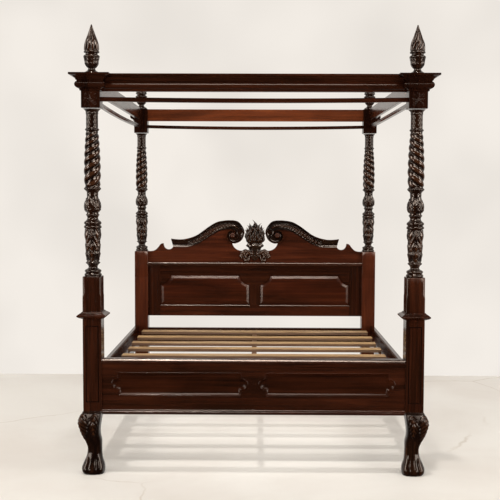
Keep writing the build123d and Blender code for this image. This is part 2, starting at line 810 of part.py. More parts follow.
# Slats laid across: (distance of the far edge behind the front posts' faces, width, shift along X)
slat_half_length = 812
slat_arris = 2
slats = [
    (275, 82, 2),
    (525, 78, -3),
    (775, 86, 4),
    (1023, 80, -2),
    (1278, 76, 3),
    (1509, 84, -4),
    (1757, 80, 2),
    (2025, 88, 0),
]
for number, (far_edge, width, shift) in enumerate(slats, start=1):
    far_y = front_y - half_post + far_edge
    with BuildPart() as slat:
        slab(
            (shift - slat_half_length, far_y - width, slat_bottom),
            (shift + slat_half_length, far_y, slat_top),
        )
        fillet(slat.edges().filter_by(Axis.X), slat_arris)
    save(slat, f"slat_{number}")
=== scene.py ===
from math import cos, pi, radians, sin

import bmesh
import bpy
import numpy as np
from mathutils import Euler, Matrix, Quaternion, Vector


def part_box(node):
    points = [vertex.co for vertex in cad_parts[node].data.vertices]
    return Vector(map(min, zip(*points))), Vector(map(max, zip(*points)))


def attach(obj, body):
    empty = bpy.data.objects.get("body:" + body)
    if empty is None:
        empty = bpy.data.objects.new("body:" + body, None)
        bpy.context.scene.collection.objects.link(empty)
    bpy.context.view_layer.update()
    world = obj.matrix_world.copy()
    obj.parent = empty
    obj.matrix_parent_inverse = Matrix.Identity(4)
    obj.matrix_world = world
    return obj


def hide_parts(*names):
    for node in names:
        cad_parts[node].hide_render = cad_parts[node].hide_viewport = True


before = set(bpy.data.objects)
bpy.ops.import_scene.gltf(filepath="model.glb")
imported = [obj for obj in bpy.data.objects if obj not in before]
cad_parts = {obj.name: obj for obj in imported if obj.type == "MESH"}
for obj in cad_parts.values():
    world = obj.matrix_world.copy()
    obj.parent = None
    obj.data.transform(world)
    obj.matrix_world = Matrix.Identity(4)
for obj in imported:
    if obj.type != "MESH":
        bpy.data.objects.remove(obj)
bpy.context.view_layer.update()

mm = 0.001
tau = 2 * pi
print("frame loaded:", len(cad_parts), "nodes")


def centreOf(node):  # middle of a CAD node's box
    low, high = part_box(node)
    return (np.array(low) + np.array(high)) / 2


# places taken from the frame
postX = centreOf("front_post_block_right")[0]
frontY = centreOf("front_post_block_right")[1]
rearY = centreOf("rear_leg_right")[1]
postHalf = (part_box("rear_leg_right")[1][0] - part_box("rear_leg_right")[0][0]) / 2
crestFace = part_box("headboard_crest")[0][1]
crestSpot = (0, crestFace, 0)
slatTop = float(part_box("slat_1")[1][2])
corners = {
    "front_left": (-postX, frontY),
    "front_right": (postX, frontY),
    "rear_left": (-postX, rearY),
    "rear_right": (postX, rearY),
}


class Field:  # a number that a socket carries; operators add Math nodes
    def __init__(self, shade, socket):
        self.shade, self.socket = shade, socket

    def join(self, operation, *others, swap=False):
        values = [self, *others]
        if swap:
            values.reverse()
        node = self.shade.node("Math", {"operation": operation}, dict(enumerate(values)))
        return Field(self.shade, node.outputs[0])

    def __add__(self, other):
        return self.join("ADD", other)

    def __mul__(self, other):
        return self.join("MULTIPLY", other)

    def __sub__(self, other):
        return self.join("SUBTRACT", other)

    def __rsub__(self, other):
        return self.join("SUBTRACT", other, swap=True)

    def __abs__(self):
        return self.join("ABSOLUTE")

    def between(self, low, high, start=0.0, end=1.0):  # start below low, end above high, eased between
        settings = {"interpolation_type": "SMOOTHSTEP"}
        sockets = {"Value": self, "From Min": low, "From Max": high, "To Min": start, "To Max": end}
        return Field(self.shade, self.shade.node("MapRange", settings, sockets).outputs["Result"])


class Tree:  # nodes being joined up
    def __init__(self, tree):
        self.tree = tree

    def node(self, kind, settings=None, sockets=None):
        made = self.tree.nodes.new("ShaderNode" + kind)
        for key, value in (settings or {}).items():
            setattr(made, key, value)
        for key, value in (sockets or {}).items():
            self.feed(made.inputs[key], value)
        return made

    def feed(self, socket, value):
        if isinstance(value, Field):
            value = value.socket
        if isinstance(value, bpy.types.NodeSocket):
            self.tree.links.new(value, socket)
        else:
            socket.default_value = value


class Shade(Tree):  # a material being made
    def __init__(self, name):
        self.material = bpy.data.materials.new(name)
        self.material.use_nodes = True
        super().__init__(self.material.node_tree)
        self.surface = self.tree.nodes["Principled BSDF"]
        self.place = self.node("TexCoord").outputs["Object"]

    def noise(self, stretch, detail=3.0, distortion=0.0, scale=1.0, shift=(0, 0, 0)):
        place = {"Vector": self.place, "Scale": stretch, "Location": shift}
        mapping = self.node("Mapping", None, place)
        sockets = {
            "Vector": mapping.outputs[0],
            "Scale": scale,
            "Detail": detail,
            "Distortion": distortion,
            "Roughness": 0.55,
        }
        return Field(self, self.node("TexNoise", None, sockets).outputs[0])

    def part(self, axis):  # one coordinate of the place, in metres
        return Field(self, self.node("SeparateXYZ", None, {0: self.place}).outputs[axis])

    def mix(self, low, high, factor):  # colour between low and high
        made = self.node("Mix", {"data_type": "RGBA"}, {0: factor, 6: low, 7: high})
        return made.outputs[2]

    def attribute(self, name):
        return Field(self, self.node("Attribute", {"attribute_name": name}).outputs["Fac"])

    def bump(self, height, distance):
        made = self.node("Bump", None, {"Height": height, "Distance": distance, "Strength": 1.0})
        self.feed(self.surface.inputs["Normal"], made.outputs[0])

    def set(self, **values):  # named sockets of the surface, with spaces written as _
        for key, value in values.items():
            self.feed(self.surface.inputs[key.replace("_", " ")], value)


blockPanel = {  # the panel line on a front block: a rectangle, then where its line runs and how soft it is
    "halfWidth": 0.033,
    "halfHeight": 0.198,
    "middle": 0.578,
    "inside": 0.0015,
    "lineHalf": 0.0022,
    "soft": 0.0010,
    "faceDepth": (0.003, 0.006),
}
# band of painted shade on the sunk panels: middle, half width, fade, and the levels of the upper edge
panelShadeBand = {"middle": 0.380, "halfWidth": 0.335, "fade": 0.030, "upperEdge": (0.512, 0.528)}
grain = {  # how many times a metre each texture changes, across the grain and along it
    "figure": (5.0, 1.1),
    "streaks": (46.0, 1.6),
    "pores": (420.0, 9.0),
}
mahoganyTones = {  # linear colours: deep shade, body and warm streak of each wood, then the pores
    "frame": ((0.0070, 0.0020, 0.0008, 1), (0.025, 0.0060, 0.0023, 1), (0.050, 0.0125, 0.0042, 1)),
    # the frame tone at about six tenths of its brightness, as painted shade for the capitals and the post
    # heads
    "dim": ((0.0040, 0.0013, 0.0007, 1), (0.014, 0.0038, 0.0017, 1), (0.030, 0.0080, 0.0032, 1)),
    "panel": ((0.014, 0.0034, 0.0013, 1), (0.040, 0.0084, 0.0032, 1), (0.078, 0.0180, 0.0056, 1)),
    "board": ((0.050, 0.0120, 0.0040, 1), (0.120, 0.0280, 0.0090, 1), (0.190, 0.0500, 0.0150, 1)),
    "crest": ((0.022, 0.0054, 0.0022, 1), (0.062, 0.0140, 0.0055, 1), (0.120, 0.0300, 0.0100, 1)),
    "carved": ((0.0022, 0.0010, 0.0007, 1), (0.0120, 0.0044, 0.0022, 1), (0.052, 0.0190, 0.0078, 1)),
    "neck": ((0.0040, 0.0015, 0.0008, 1), (0.0150, 0.0046, 0.0022, 1), (0.050, 0.0155, 0.0062, 1)),
    "pore": (0.004, 0.0015, 0.001, 1),
}


# Painted shade in the line sunk round each front block's panel: a dark band between two rectangles on the
# front face.
def sunkLineShade(shade):
    x, y, z = (shade.part(axis) for axis in range(3))
    across = abs(abs(x) - float(postX)) - blockPanel["halfWidth"]
    upright = abs(z - blockPanel["middle"]) - blockPanel["halfHeight"]
    edge = across.join("MAXIMUM", upright)
    onFace = 1.0 - (y - float(frontY - postHalf)).between(*blockPanel["faceDepth"])
    beside = abs(edge + blockPanel["inside"]) - blockPanel["lineHalf"]
    return (1.0 - beside.between(0.0, blockPanel["soft"])) * onFace


# Painted shade along the upper edge of the sunk panels, under the moulding, and along their ends: the larger
# of the two fades.
def panelShadePaint(shade):
    half = panelShadeBand["halfWidth"]
    ends = abs(abs(shade.part(0)) - panelShadeBand["middle"]).between(half - panelShadeBand["fade"], half)
    return shade.part(2).between(*panelShadeBand["upperEdge"]).join("MAXIMUM", ends * 0.85)


def drawnOut(texture, along):  # stretch of a texture: fine across the grain, coarse along it
    across, lengthwise = grain[texture]
    return [lengthwise if axis == along else across for axis in range(3)]


# Mahogany: a broad figure and ribbon streaks drawn out along the grain, dark pores, a gloss that varies;
# where the settings ask, painted shade in carved hollows, sunk lines and sunk panels, and a painted highlight
# on carved crowns.
def mahogany(name, tone, along, carved=False, gloss=0.17, mirror=0.26, lines=False, wax=False):
    shade = Shade(name)
    deep, body, warm = mahoganyTones[tone]
    dark = mahoganyTones["pore"]
    figure = shade.noise(drawnOut("figure", along), detail=4, distortion=0.9)
    streaks = shade.noise(drawnOut("streaks", along), distortion=0.5, shift=(0.3, 0.1, 0.7))
    pores = shade.noise(drawnOut("pores", along), detail=2, shift=(0.9, 0.4, 0.2)).between(0.56, 0.74)
    smear = shade.noise((2.2, 2.2, 2.2), detail=5, scale=1.6, shift=(4, 1, 3))
    colour = shade.mix(deep, body, (figure * 0.65 + streaks * 0.55).between(0.38, 0.74))
    colour = shade.mix(colour, warm, streaks.between(0.5, 0.78) * figure.between(0.4, 0.7) * 0.75)
    colour = shade.mix(colour, dark, pores * 0.55)
    roughness = smear * 0.16 + pores * 0.10 + (gloss - 0.08)
    # Low relief is painted darker as shade in the hollows; high relief is painted warmer, partly as worn
    # edges and partly as a painted highlight on the crowns.
    if carved:  # hollows darker and duller, crowns warmer
        relief = shade.attribute("relief")
        hollow = 1.0 - relief.between(0.08, 0.55)
        colour = shade.mix(colour, dark, hollow * 0.85)
        colour = shade.mix(colour, warm, relief.between(0.62, 1.0) * 0.45)
        roughness = roughness + hollow * 0.14
    # painted shade in the line sunk round the front block's panel
    if lines:
        colour = shade.mix(colour, dark, sunkLineShade(shade) * 0.85)
    # painted shade along the upper edge and the ends of the sunk panels
    if wax:
        colour = shade.mix(colour, dark, panelShadePaint(shade) * 0.8)
    shade.set(Base_Color=colour, Roughness=roughness, Coat_Weight=0.03, Coat_Roughness=0.05,
              Specular_IOR_Level=mirror, Specular_Tint=(1.0, 0.86, 0.76, 1))
    shade.bump(streaks * 0.5 - pores * 0.6 + smear * 0.8, 0.00015)
    return shade.material


pineTones = {
    "sap": (0.43, 0.265, 0.115, 1),
    "late": (0.15, 0.075, 0.028, 1),
    "dust": (0.50, 0.375, 0.24, 1),
    "stain": (0.085, 0.038, 0.016, 1),
    # side: painted shade on the slat sides below the top, partly the browner sawn wood
    "side": (0.080, 0.034, 0.016, 1),
    "knot": (0.10, 0.04, 0.015, 1),
}


# Rough sawn pine: growth lines drawn out along X, saw marks across, a few knots, and sides below the top
# painted darker: painted shade, partly the browner sawn wood.
def pine(name, shift):
    shade = Shade(name)
    lines = shade.noise((0.8, 62.0, 30.0), distortion=1.2, shift=shift)
    patch = shade.noise((1.6, 7.0, 7.0), detail=4, shift=(shift[0] + 3, shift[1], 1.0))
    saw = shade.noise((130.0, 6.0, 6.0), detail=2, shift=shift)
    spots = shade.noise((5.0, 13.0, 13.0), detail=1, shift=(shift[0] - 2, 5.0, shift[2]))
    stains = shade.noise((2.6, 26.0, 10.0), detail=4, distortion=0.8, shift=(shift[2], shift[0], 2.0))
    depth = slatTop - shade.part(2)
    colour = pineTones["sap"]
    for tone, factor in (
        ("late", lines.between(0.44, 0.66) * 0.95),
        ("dust", patch.between(0.45, 0.8) * 0.6),
        ("knot", spots.between(0.74, 0.84) * 0.8),
        ("stain", stains.between(0.52, 0.72) * 0.75),
        # painted shade on the sides below the top, partly the browner sawn wood
        ("side", depth.between(0.0012, 0.0035) * 0.88),
    ):
        colour = shade.mix(colour, pineTones[tone], factor)
    shade.set(Base_Color=colour, Roughness=patch * 0.2 + 0.55)
    shade.bump(lines * 0.5 + saw * 0.5, 0.0012)
    return shade.material


# Zinc plated steel: a mottled grey with a fine turned bump.
def platedSteel(name):
    shade = Shade(name)
    mottle = shade.noise((90, 90, 90), detail=4)
    colour = shade.mix((0.42, 0.42, 0.43, 1), (0.62, 0.61, 0.58, 1), mottle.between(0.35, 0.7))
    shade.set(Base_Color=colour, Roughness=mottle * 0.25 + 0.22, Metallic=1.0)
    shade.bump(mottle, 0.0002)
    return shade.material


floorTones = {
    "shade": (0.61, 0.575, 0.535, 1),
    "light": (0.68, 0.66, 0.625, 1),
    "speck": (0.51, 0.45, 0.39, 1),
    "crack": (0.30, 0.22, 0.13, 1),
}


# Pale floor: a warm off-white screed with faint clouds, specks and hair cracks along bent cell edges.
def paleFloor(name):
    shade = Shade(name)
    cloud = shade.noise((0.9, 0.9, 0.9), detail=5, distortion=0.4)
    speck = shade.noise((26, 26, 26))
    colour = shade.mix(floorTones["shade"], floorTones["light"], cloud.between(0.3, 0.62))
    colour = shade.mix(colour, floorTones["speck"], speck.between(0.70, 0.80) * 0.35)
    wander = shade.node("TexNoise", None, {"Vector": shade.place, "Scale": 2.2, "Detail": 5.0})
    bent = shade.node("Mix", {"data_type": "VECTOR"},
                      {0: 0.16, 4: shade.place, 5: wander.outputs["Color"]})
    cells = shade.node("TexVoronoi", {"feature": "DISTANCE_TO_EDGE"},
                       {"Vector": bent.outputs[1], "Scale": 0.55})
    crack = 1.0 - Field(shade, cells.outputs["Distance"]).between(0.0, 0.0045)
    fade = shade.noise((0.8, 0.8, 0.8), detail=2, shift=(7, 2, 0)).between(0.5, 0.62)
    colour = shade.mix(colour, floorTones["crack"], crack * fade * 0.35)
    shade.set(Base_Color=colour, Roughness=cloud * 0.2 + 0.45)
    shade.bump(speck, 0.0004)
    return shade.material


woods = {  # piece, tone and settings; the last letter of each key is the way its grain runs
    "frameX": ("frame_across", "frame", {}),
    "frameY": ("frame_along", "frame", {}),
    "frameZ": ("frame_upright", "frame", {}),
    "panelX": ("panel", "panel", {}),
    "crestX": ("crest", "crest", {}),
    # capitals and post heads: a darker copy of the frame wood as painted shade
    "dimZ": ("capitals", "dim", {"mirror": 0.15}),
    "sunkX": ("panel_mouldings", "frame", {"mirror": 0.07}),
    "baseX": ("base_moulding", "frame", {"gloss": 0.2, "mirror": 0.42}),
    "footZ": ("carved_feet", "carved", {"carved": True, "gloss": 0.10, "mirror": 0.15}),
    "urnX": ("urn", "carved", {"carved": True, "gloss": 0.12, "mirror": 0.6}),
    # sunk panels: painted shade along the upper edge and the ends
    "waxX": ("sunk_panels", "frame", {"mirror": 0.12, "wax": True}),
    "edgeX": ("polished_edges", "frame", {"gloss": 0.2, "mirror": 0.9}),
    "testerX": ("tester_across", "board", {}),
    "legZ": ("rear_leg", "crest", {}),
    # front blocks: painted shade in the line sunk round the panel
    "lineZ": ("front_block", "frame", {"lines": True}),
    "carvedZ": ("carved_upright", "carved", {"carved": True, "gloss": 0.07, "mirror": 0.34}),
    "carvedX": ("carved_across", "carved", {"carved": True, "gloss": 0.07, "mirror": 0.22}),
    "rosetteX": ("rosettes", "crest", {"carved": True, "gloss": 0.16, "mirror": 0.15}),
    "neckX": ("swan_neck", "neck", {"carved": True, "gloss": 0.12, "mirror": 0.5}),
}
materials = {
    key: mahogany(f"mahogany_{name}", tone, "XYZ".index(key[-1]), **settings)
    for key, (name, tone, settings) in woods.items()
}
materials["steel"] = platedSteel("plated_steel")
materials["floor"] = paleFloor("pale_floor")
cadFinishes = {
    "waxX": ("footboard_panels",),
    "frameX": ("footboard_frame", "front_cornice", "tester_board_front", "headboard_top_rail",
               "rear_cross_rail"),
    "edgeX": ("headboard_shelf", "footboard_cap"),
    "baseX": ("footboard_base_moulding",),
    "frameY": ("side_rail_left", "side_rail_right", "tester_board_left", "tester_board_right",
               "slat_ledgers"),
    "frameZ": ("post_collars", "headboard_stiles", "headboard_muntin"),
    "dimZ": ("capital_front_left", "capital_front_right", "capital_rear_left", "capital_rear_right"),
    "legZ": ("rear_leg_left", "rear_leg_right"),
    "lineZ": ("front_post_block_left", "front_post_block_right"),
    "panelX": ("headboard_panels", "headboard_bottom_rail"),
    "crestX": ("headboard_crest",),
    "testerX": ("tester_board_rear",),
    "steel": ("bed_bolts", "bed_bolt_nuts"),
}


def finish(node, material):  # gives a CAD node its wood or steel
    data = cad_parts[node].data
    data.materials.clear()
    data.materials.append(material)


for key, nodes in cadFinishes.items():
    for node in nodes:
        finish(node, materials[key])
for number in range(1, 9):
    finish(f"slat_{number}", pine(f"pine_slat_{number}", (number * 1.7, number * 0.43, number * 0.29)))
finish("centre_bearer", pine("pine_bearer", (0.4, 0.8, 0.1)))
finish("post_dowels", pine("dowel_wood", (2.4, 0.3, 0.6)))
print("materials made")


creaseDegrees = 38  # edges sharper than this stay crisp
weldDistance = 4e-6


# Quads between neighbouring points of a grid, round the columns too when it is wrapped.
def gridFaces(rows, cols, wrapped):
    i = np.arange(rows - 1)[:, None] * cols
    j = np.arange(cols if wrapped else cols - 1)[None, :]
    k = (j + 1) % cols
    return np.stack([i + j, i + k, i + cols + k, i + cols + j], -1).reshape(-1, 4)


# Joins grids of points into one welded mesh piece. Each surface is (points, wrapped, relief from 0 to 1);
# carved woods paint low relief darker as shade and high relief warmer as highlight.
def makePiece(name, surfaces, material, body="root", stands=()):
    spots, quads, relief, count = [], [], [], 0
    for points, wrapped, height in surfaces:
        rows, cols = points.shape[:2]
        spots.append(points.reshape(-1, 3))
        quads.append(gridFaces(rows, cols, wrapped) + count)
        relief.append(np.broadcast_to(np.float32(height), (rows, cols)).reshape(-1))
        count += rows * cols
    mesh = bpy.data.meshes.new(name)
    mesh.from_pydata(np.concatenate(spots), [], np.concatenate(quads))
    mesh.attributes.new("relief", "FLOAT", "POINT").data.foreach_set("value", np.concatenate(relief))
    work = bmesh.new()
    work.from_mesh(mesh)
    bmesh.ops.remove_doubles(work, verts=work.verts, dist=weldDistance)
    work.to_mesh(mesh)
    work.free()
    mesh.shade_smooth()
    mesh.set_sharp_from_angle(angle=radians(creaseDegrees))
    mesh.materials.append(material)
    piece = bpy.data.objects.new(name, mesh)
    bpy.context.scene.collection.objects.link(piece)
    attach(piece, body)
    if stands:
        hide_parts(*stands)


def fullTurn(count):  # angles evenly round an axis, as a row
    return np.linspace(0, tau, count, endpoint=False)[None, :]


def placed(x, y, z, spot):  # coordinates in millimetres, stacked and moved to a spot in metres
    return np.stack(np.broadcast_arrays(x, y, z), -1) * mm + np.array(spot)


def turnedOver(points, shadeOf):  # the columns run backwards, so that faces look outwards when mirrored
    return points[:, ::-1], shadeOf[:, ::-1]


def ease(t):  # smooth step from 0 to 1
    t = np.clip(t, 0, 1)
    return t * t * (3 - 2 * t)


def within(level, low, high, rise, fall):  # 1 from low to high, eased in over rise and out over fall
    return ease((level - low) / rise) * ease((high - level) / fall)


# Cubic curve through the given places: slopes are those between each place's neighbours.
def curveThrough(at, places, values):
    places, values = np.asarray(places, float), np.asarray(values, float)
    slopes = np.gradient(values, places)
    k = np.clip(np.searchsorted(places, at) - 1, 0, len(places) - 2)
    step = places[k + 1] - places[k]
    t = (at - places[k]) / step
    a, b = values[k], values[k + 1]
    rise = slopes[k] * step * t * (1 - t) ** 2 - slopes[k + 1] * step * t * t * (1 - t)
    return a * (1 + 2 * t) * (1 - t) ** 2 + b * t * t * (3 - 2 * t) + rise


# Outline of a turning: each step is a straight run plus a parabola as high as its bulge.
def turningOutline(level, radius, steps, pitch=1.6):
    levels, radii = [np.array([level])], [np.array([radius])]
    for rise, end, bulge in steps:
        count = max(2, int(np.hypot(rise, end - radius) / pitch) + 1)
        t = np.linspace(0, 1, count + 1)[1:]
        levels.append(level + rise * t)
        radii.append(radius + (end - radius) * t + 4 * bulge * t * (1 - t))
        level, radius = level + rise, end
    return np.concatenate(levels), np.concatenate(radii)


# Closes a wrapped grid of rings with a pole at each end.
def withPoles(points, relief):
    low = np.broadcast_to(points[0].mean(0), points[0].shape)
    high = np.broadcast_to(points[-1].mean(0), points[-1].shape)
    rings = np.concatenate([low[None], points, high[None]])
    return rings, True, np.concatenate([relief[:1], relief, relief[-1:]])


# One carved leaf over u from -1 to 1 across and v from 0 at its root to 1 at its tip:
# a cupped blade with a midrib, side veins that rise towards the edge, and a lobed outline.
def leafRelief(u, v, lobes, width, lean):
    beat = v * lobes - lean * np.abs(u)
    outline = width * np.clip(np.sin(pi * np.clip(v, 0, 1) ** 0.62), 0, 1) ** 0.45
    outline = outline * (0.86 + 0.14 * np.cos(tau * beat))
    inside = ease((outline - np.abs(u)) / 0.16) * ease(v / 0.04) * ease((1 - v) / 0.04)
    veins = 0.5 + 0.5 * np.cos(tau * beat)
    rib = np.exp(-((u / 0.10) ** 2))
    cup = 0.55 + 0.45 * np.clip(1 - np.abs(u) / np.maximum(outline, 0.05), 0, 1)
    return inside * np.clip(cup * (0.45 + 0.55 * veins) + 0.35 * rib, 0, 1)


# A ring of leaves side by side round an axis.
def leafRing(angle, v, leaves, turn, lobes, width=0.95, lean=0.55):
    u = (((angle + turn) * leaves / tau) % 1.0) * 2 - 1
    return leafRelief(u, v, lobes, width, lean)


post = {
    "columns": 120,
    "blockHalf": 48,
    "turningBottom": 1030,
    "topBlockBottom": 1890,
    "top": 1976,
    "stretches": ("baseRings", "vase", "capRings", "bulb", "beadRing", "rope", "neck"),  # from the bottom up
    "baseRings": [(3, 43, 0), (12, 40, 3), (3, 38.5, 0), (3, 40, 0), (13, 38.5, 3.5), (4, 30, 0),
                  (10, 23, -2), (12, 29, -1), (3, 32, 0)],
    "vase": [(12, 32, 5), (3, 31, 0), (38, 37, -1), (13, 35, 0), (27, 38.5, -1), (18, 36.5, 0),
             (38, 42, 0), (33, 38.5, 0)],
    "capRings": [(3, 43, 0), (12, 43, 2.5), (4, 38.5, 0), (3, 41, 0), (15, 41, 4), (4, 36, 0), (17, 28, -3)],
    "bulb": [(8, 31, 0), (10, 31, 4), (6, 29.5, 0), (22, 42, 4), (30, 40.5, 2), (40, 29.5, -2), (6, 29.5, 0)],
    "beadRing": [(16, 37, -3), (3, 39, 0), (13, 39, 4.5), (4, 37, 0)],
    "rope": [(98, 40, 1.5), (184, 30, 2)],
    "neck": [(3, 32, 0), (12, 32, 4.5), (3, 30.5, 0), (70, 30.5, 0), (3, 33, 0), (21, 43, -5)],
    "ropeStrands": 3,
    "ropeSpacing": (54, 30),  # strands crowd together as the shaft thins
    "ropeDepth": 8.5,
    "pearls": 18,
    "scales": 5,
}
leafBands = {  # stretch skipped below and above, eased in and out over, depth, how far it is sunk
    "vase": {"skip": (15, 0), "ease": (4, 3), "depth": 5.4, "sink": 2.6, "rings": [
        # from, height, leaves, turned by, width, lean, share of the depth
        (0, 92, 4, pi / 4, 0.95, 1.5, 1.0),
        (52, 112, 4, 0, 0.95, 1.6, 1.1),
        (118, 62, 8, pi / 8, 0.95, 1.2, 0.9),
    ]},
    "bulb": {"skip": (24, 4), "ease": (5, 10), "depth": 3.6, "sink": 1.6, "rings": [
        (0, 78, 5, 0, 0.95, 1.4, 1.0),
        (10, 62, 5, pi / 5, 0.7, 1.4, 0.8),
    ]},
}


# Relief of the carved stretches of a column, in millimetres, from angle and level:
# leaf rings on vase and bulb, pearls, rope strands as |cos| of half the phase, crossed lines for scales.
def columnRelief(angle, level, hand):
    relief = np.zeros(np.broadcast(angle, level).shape)
    marks = {}
    start = post["turningBottom"]
    for part in post["stretches"]:
        marks[part] = (start, start + sum(step[0] for step in post[part]))
        start = marks[part][1]
    for part, band in leafBands.items():
        low, high = marks[part][0] + band["skip"][0], marks[part][1] - band["skip"][1]
        leaves = [
            share * leafRing(angle, (level - low - lift) / height, count, turn, 3, width, lean)
            for lift, height, count, turn, width, lean, share in band["rings"]
        ]
        carved = np.max(leaves, axis=0) * band["depth"] - band["sink"]
        relief += within(level, low, high, *band["ease"]) * carved
    low, high = marks["beadRing"]
    pearl = np.abs(np.cos(angle * post["pearls"] / 2)) ** 0.7
    relief += within(level, low + 18, high - 3, 3, 3) * (pearl * 3.0 - 2.2)
    low, high = marks["rope"]
    wide, tight = post["ropeSpacing"]
    share = np.clip((level - low) / (high - low), 0, 1)
    turns = (high - low) / (tight - wide) * np.log(1 + (tight - wide) * share / wide)
    strand = np.abs(np.cos((post["ropeStrands"] * angle - hand * tau * turns) / 2))
    depth = post["ropeDepth"] * (1 - 0.38 * share)
    relief += within(level, low, high, 10, 12) * depth * (strand**0.9 - 0.58)
    low, high = marks["neck"]
    crossing = post["scales"] * angle, pi * level / 24
    scale = np.abs(np.cos(crossing[0] + crossing[1])) * np.abs(np.cos(crossing[0] - crossing[1]))
    relief += within(level, low + 19, high - 26, 3, 4) * (scale**0.6 * 1.2 - 0.8)
    return relief


# Ring of a square with its corners cut off: each side runs along a face, then across the cut.
def squareRing(half, cut, faceSteps=5, cutSteps=3):
    side = np.linspace(-1, 1, faceSteps)[None, :] * (half - cut)[:, None]
    turn = np.linspace(0, pi / 2, cutSteps + 2)[1:-1][None, :]
    cornerX = (half - cut)[:, None] + cut[:, None] * np.cos(turn)
    cornerY = (half - cut)[:, None] + cut[:, None] * np.sin(turn)
    x = np.concatenate([np.broadcast_to(half[:, None], side.shape), cornerX], 1)
    y = np.concatenate([side, cornerY], 1)
    acrossX, acrossY = zip((x, y), (-y, x), (-x, -y), (y, -x))
    return np.stack([np.concatenate(acrossX, 1), np.concatenate(acrossY, 1)], -1)


# A square post block: rings up the height, with cut corners and arrises eased at both ends.
def squareBlock(x, y, levels, halves, cuts):
    rings = squareRing(np.asarray(halves, float), np.asarray(cuts, float))
    points = placed(rings[..., 0], rings[..., 1], np.asarray(levels, float)[:, None], (x, y, 0))
    return withPoles(points, np.full(points.shape[:2], 0.5))


# Surface of revolution with its relief added to the outline's radius.
def turnedSurface(x, y, levels, radii, reliefOf, columns):
    angle, level = fullTurn(columns), levels[:, None]
    relief = reliefOf(angle, level)
    radius = radii[:, None] + relief
    points = placed(radius * np.cos(angle), radius * np.sin(angle), level, (x, y, 0))
    return withPoles(points, np.clip(0.5 + relief / 6, 0, 1))


topRosette = {"half": 35, "leaves": 8, "leafDepth": 1.3, "button": 0.16, "buttonDepth": 1.6, "rim": 0.05,
              "field": 0.2, "sink": 0.6, "steps": 61}


# Low carving on a front post's top block, front and outer face: a ring of leaves round a button,
# fading to nothing at the edge of a square.
def topCarving(x, y):
    span = np.linspace(-1, 1, topRosette["steps"])
    u, v = span[None, :], span[:, None]
    reach, turn = np.hypot(u, v), np.arctan2(v, u)
    petals = leafRing(turn, reach / 1.15, topRosette["leaves"], pi / 8, 3) * topRosette["leafDepth"]
    button = np.exp(-((reach / topRosette["button"]) ** 4)) * topRosette["buttonDepth"]
    edge = ease((1 - np.maximum(np.abs(u), np.abs(v))) / topRosette["rim"])
    height = edge * (petals + button + topRosette["field"])
    half, middle = topRosette["half"], (post["topBlockBottom"] + post["top"]) / 2
    side, outward = ("right", 1) if x > 0 else ("left", -1)
    stand = post["blockHalf"] + height - topRosette["sink"]
    front = placed(u * half, -stand, v * half + middle, (x, y, 0))
    outer = placed(outward * stand, outward * u * half, v * half + middle, (x, y, 0))
    shadeOf = np.clip(0.2 + height / 6, 0, 1)
    surfaces = [(points, False, shadeOf) for points in (front, outer)]
    makePiece(f"top_block_carving_{side}", surfaces, materials["dimZ"])


postEnds = {"arris": 2.5, "chamfer": 11, "tongues": (922, 952), "swell": 1.5}


# One upper post: the turned and carved column, the square block under it and the square head above it.
def upperPost(corner):
    x, y = corners[corner]
    atFront = y == frontY
    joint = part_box(f"upper_post_{corner}")[0][2] / mm
    hand = 1 if x < 0 else -1
    steps = sum((post[part] for part in post["stretches"]), [])
    levels, radii = turningOutline(post["turningBottom"], 42, steps)
    column = turnedSurface(x, y, levels, radii, lambda a, z: columnRelief(a, z, hand), post["columns"])
    half, top = post["blockHalf"], post["turningBottom"]
    arris, chamfer = postEnds["arris"], postEnds["chamfer"]
    if atFront:  # chamfers rise out of lamb's tongues
        first, last = postEnds["tongues"]
        rise = np.linspace(first, last, 13)
        swell = postEnds["swell"] * np.sin(pi * np.clip((rise - first) / (last - first), 0, 1)) ** 2
        cut = arris + (chamfer - arris) * ease((rise - first) / 26) + swell
        blockLevels = np.concatenate([[joint, joint + 1.5], rise, [top - 2, top]])
        blockCuts = np.concatenate([[arris, arris], cut, [chamfer, chamfer]])
        blockHalves = np.full(len(blockLevels), float(half))
        blockHalves[[0, -1]] -= 1.5
    else:
        blockLevels = [joint, joint + 1.2, top - 2, top]
        blockCuts = [arris] * 4
        blockHalves = [half - 0.8, half, half, half - 1.5]
    block = squareBlock(x, y, blockLevels, blockHalves, blockCuts)
    low, high = post["topBlockBottom"], post["top"]
    head = squareBlock(x, y, [low, low + 0.6, high - 0.6, high], [half - 0.6, half, half, half], [arris] * 4)
    makePiece(f"carved_column_{corner}", [column], materials["carvedZ"], stands=[f"upper_post_{corner}"])
    wood = materials["frameZ" if atFront else "legZ"]
    makePiece(f"column_blocks_{corner}", [block], wood)
    makePiece(f"column_heads_{corner}", [head], materials["dimZ"])
    if atFront:
        topCarving(x, y)


for corner in corners:
    upperPost(corner)
print("upper posts carved")


finial = {
    "columns": 96,
    "base": 2062,
    "baseRadius": 36,
    "cup": [(2, 38, 0), (9, 36, 2), (2, 33, 0), (14, 18.5, -3), (4, 18.5, 0), (28, 35, 4), (12, 36.5, 0),
            (16, 41, 0), (10, 37, 2.5), (3, 31, 0), (6, 31, 0)],
    "ring": [(3, 38.5, 0), (9, 38, 1.5), (3, 36, 0)],
    "flame": [(62, 24.5, 4), (69, 2.5, -1)],
    "plain": (31, 18),  # foot and lip of the cup that carry no leaves
    "leaves": 8,
    "leafDepth": (3.0, 1.2),
    "ribs": 10,
    "ribDepth": 6.72,
    "twist": {"left": 0.28, "right": 1.5},
}


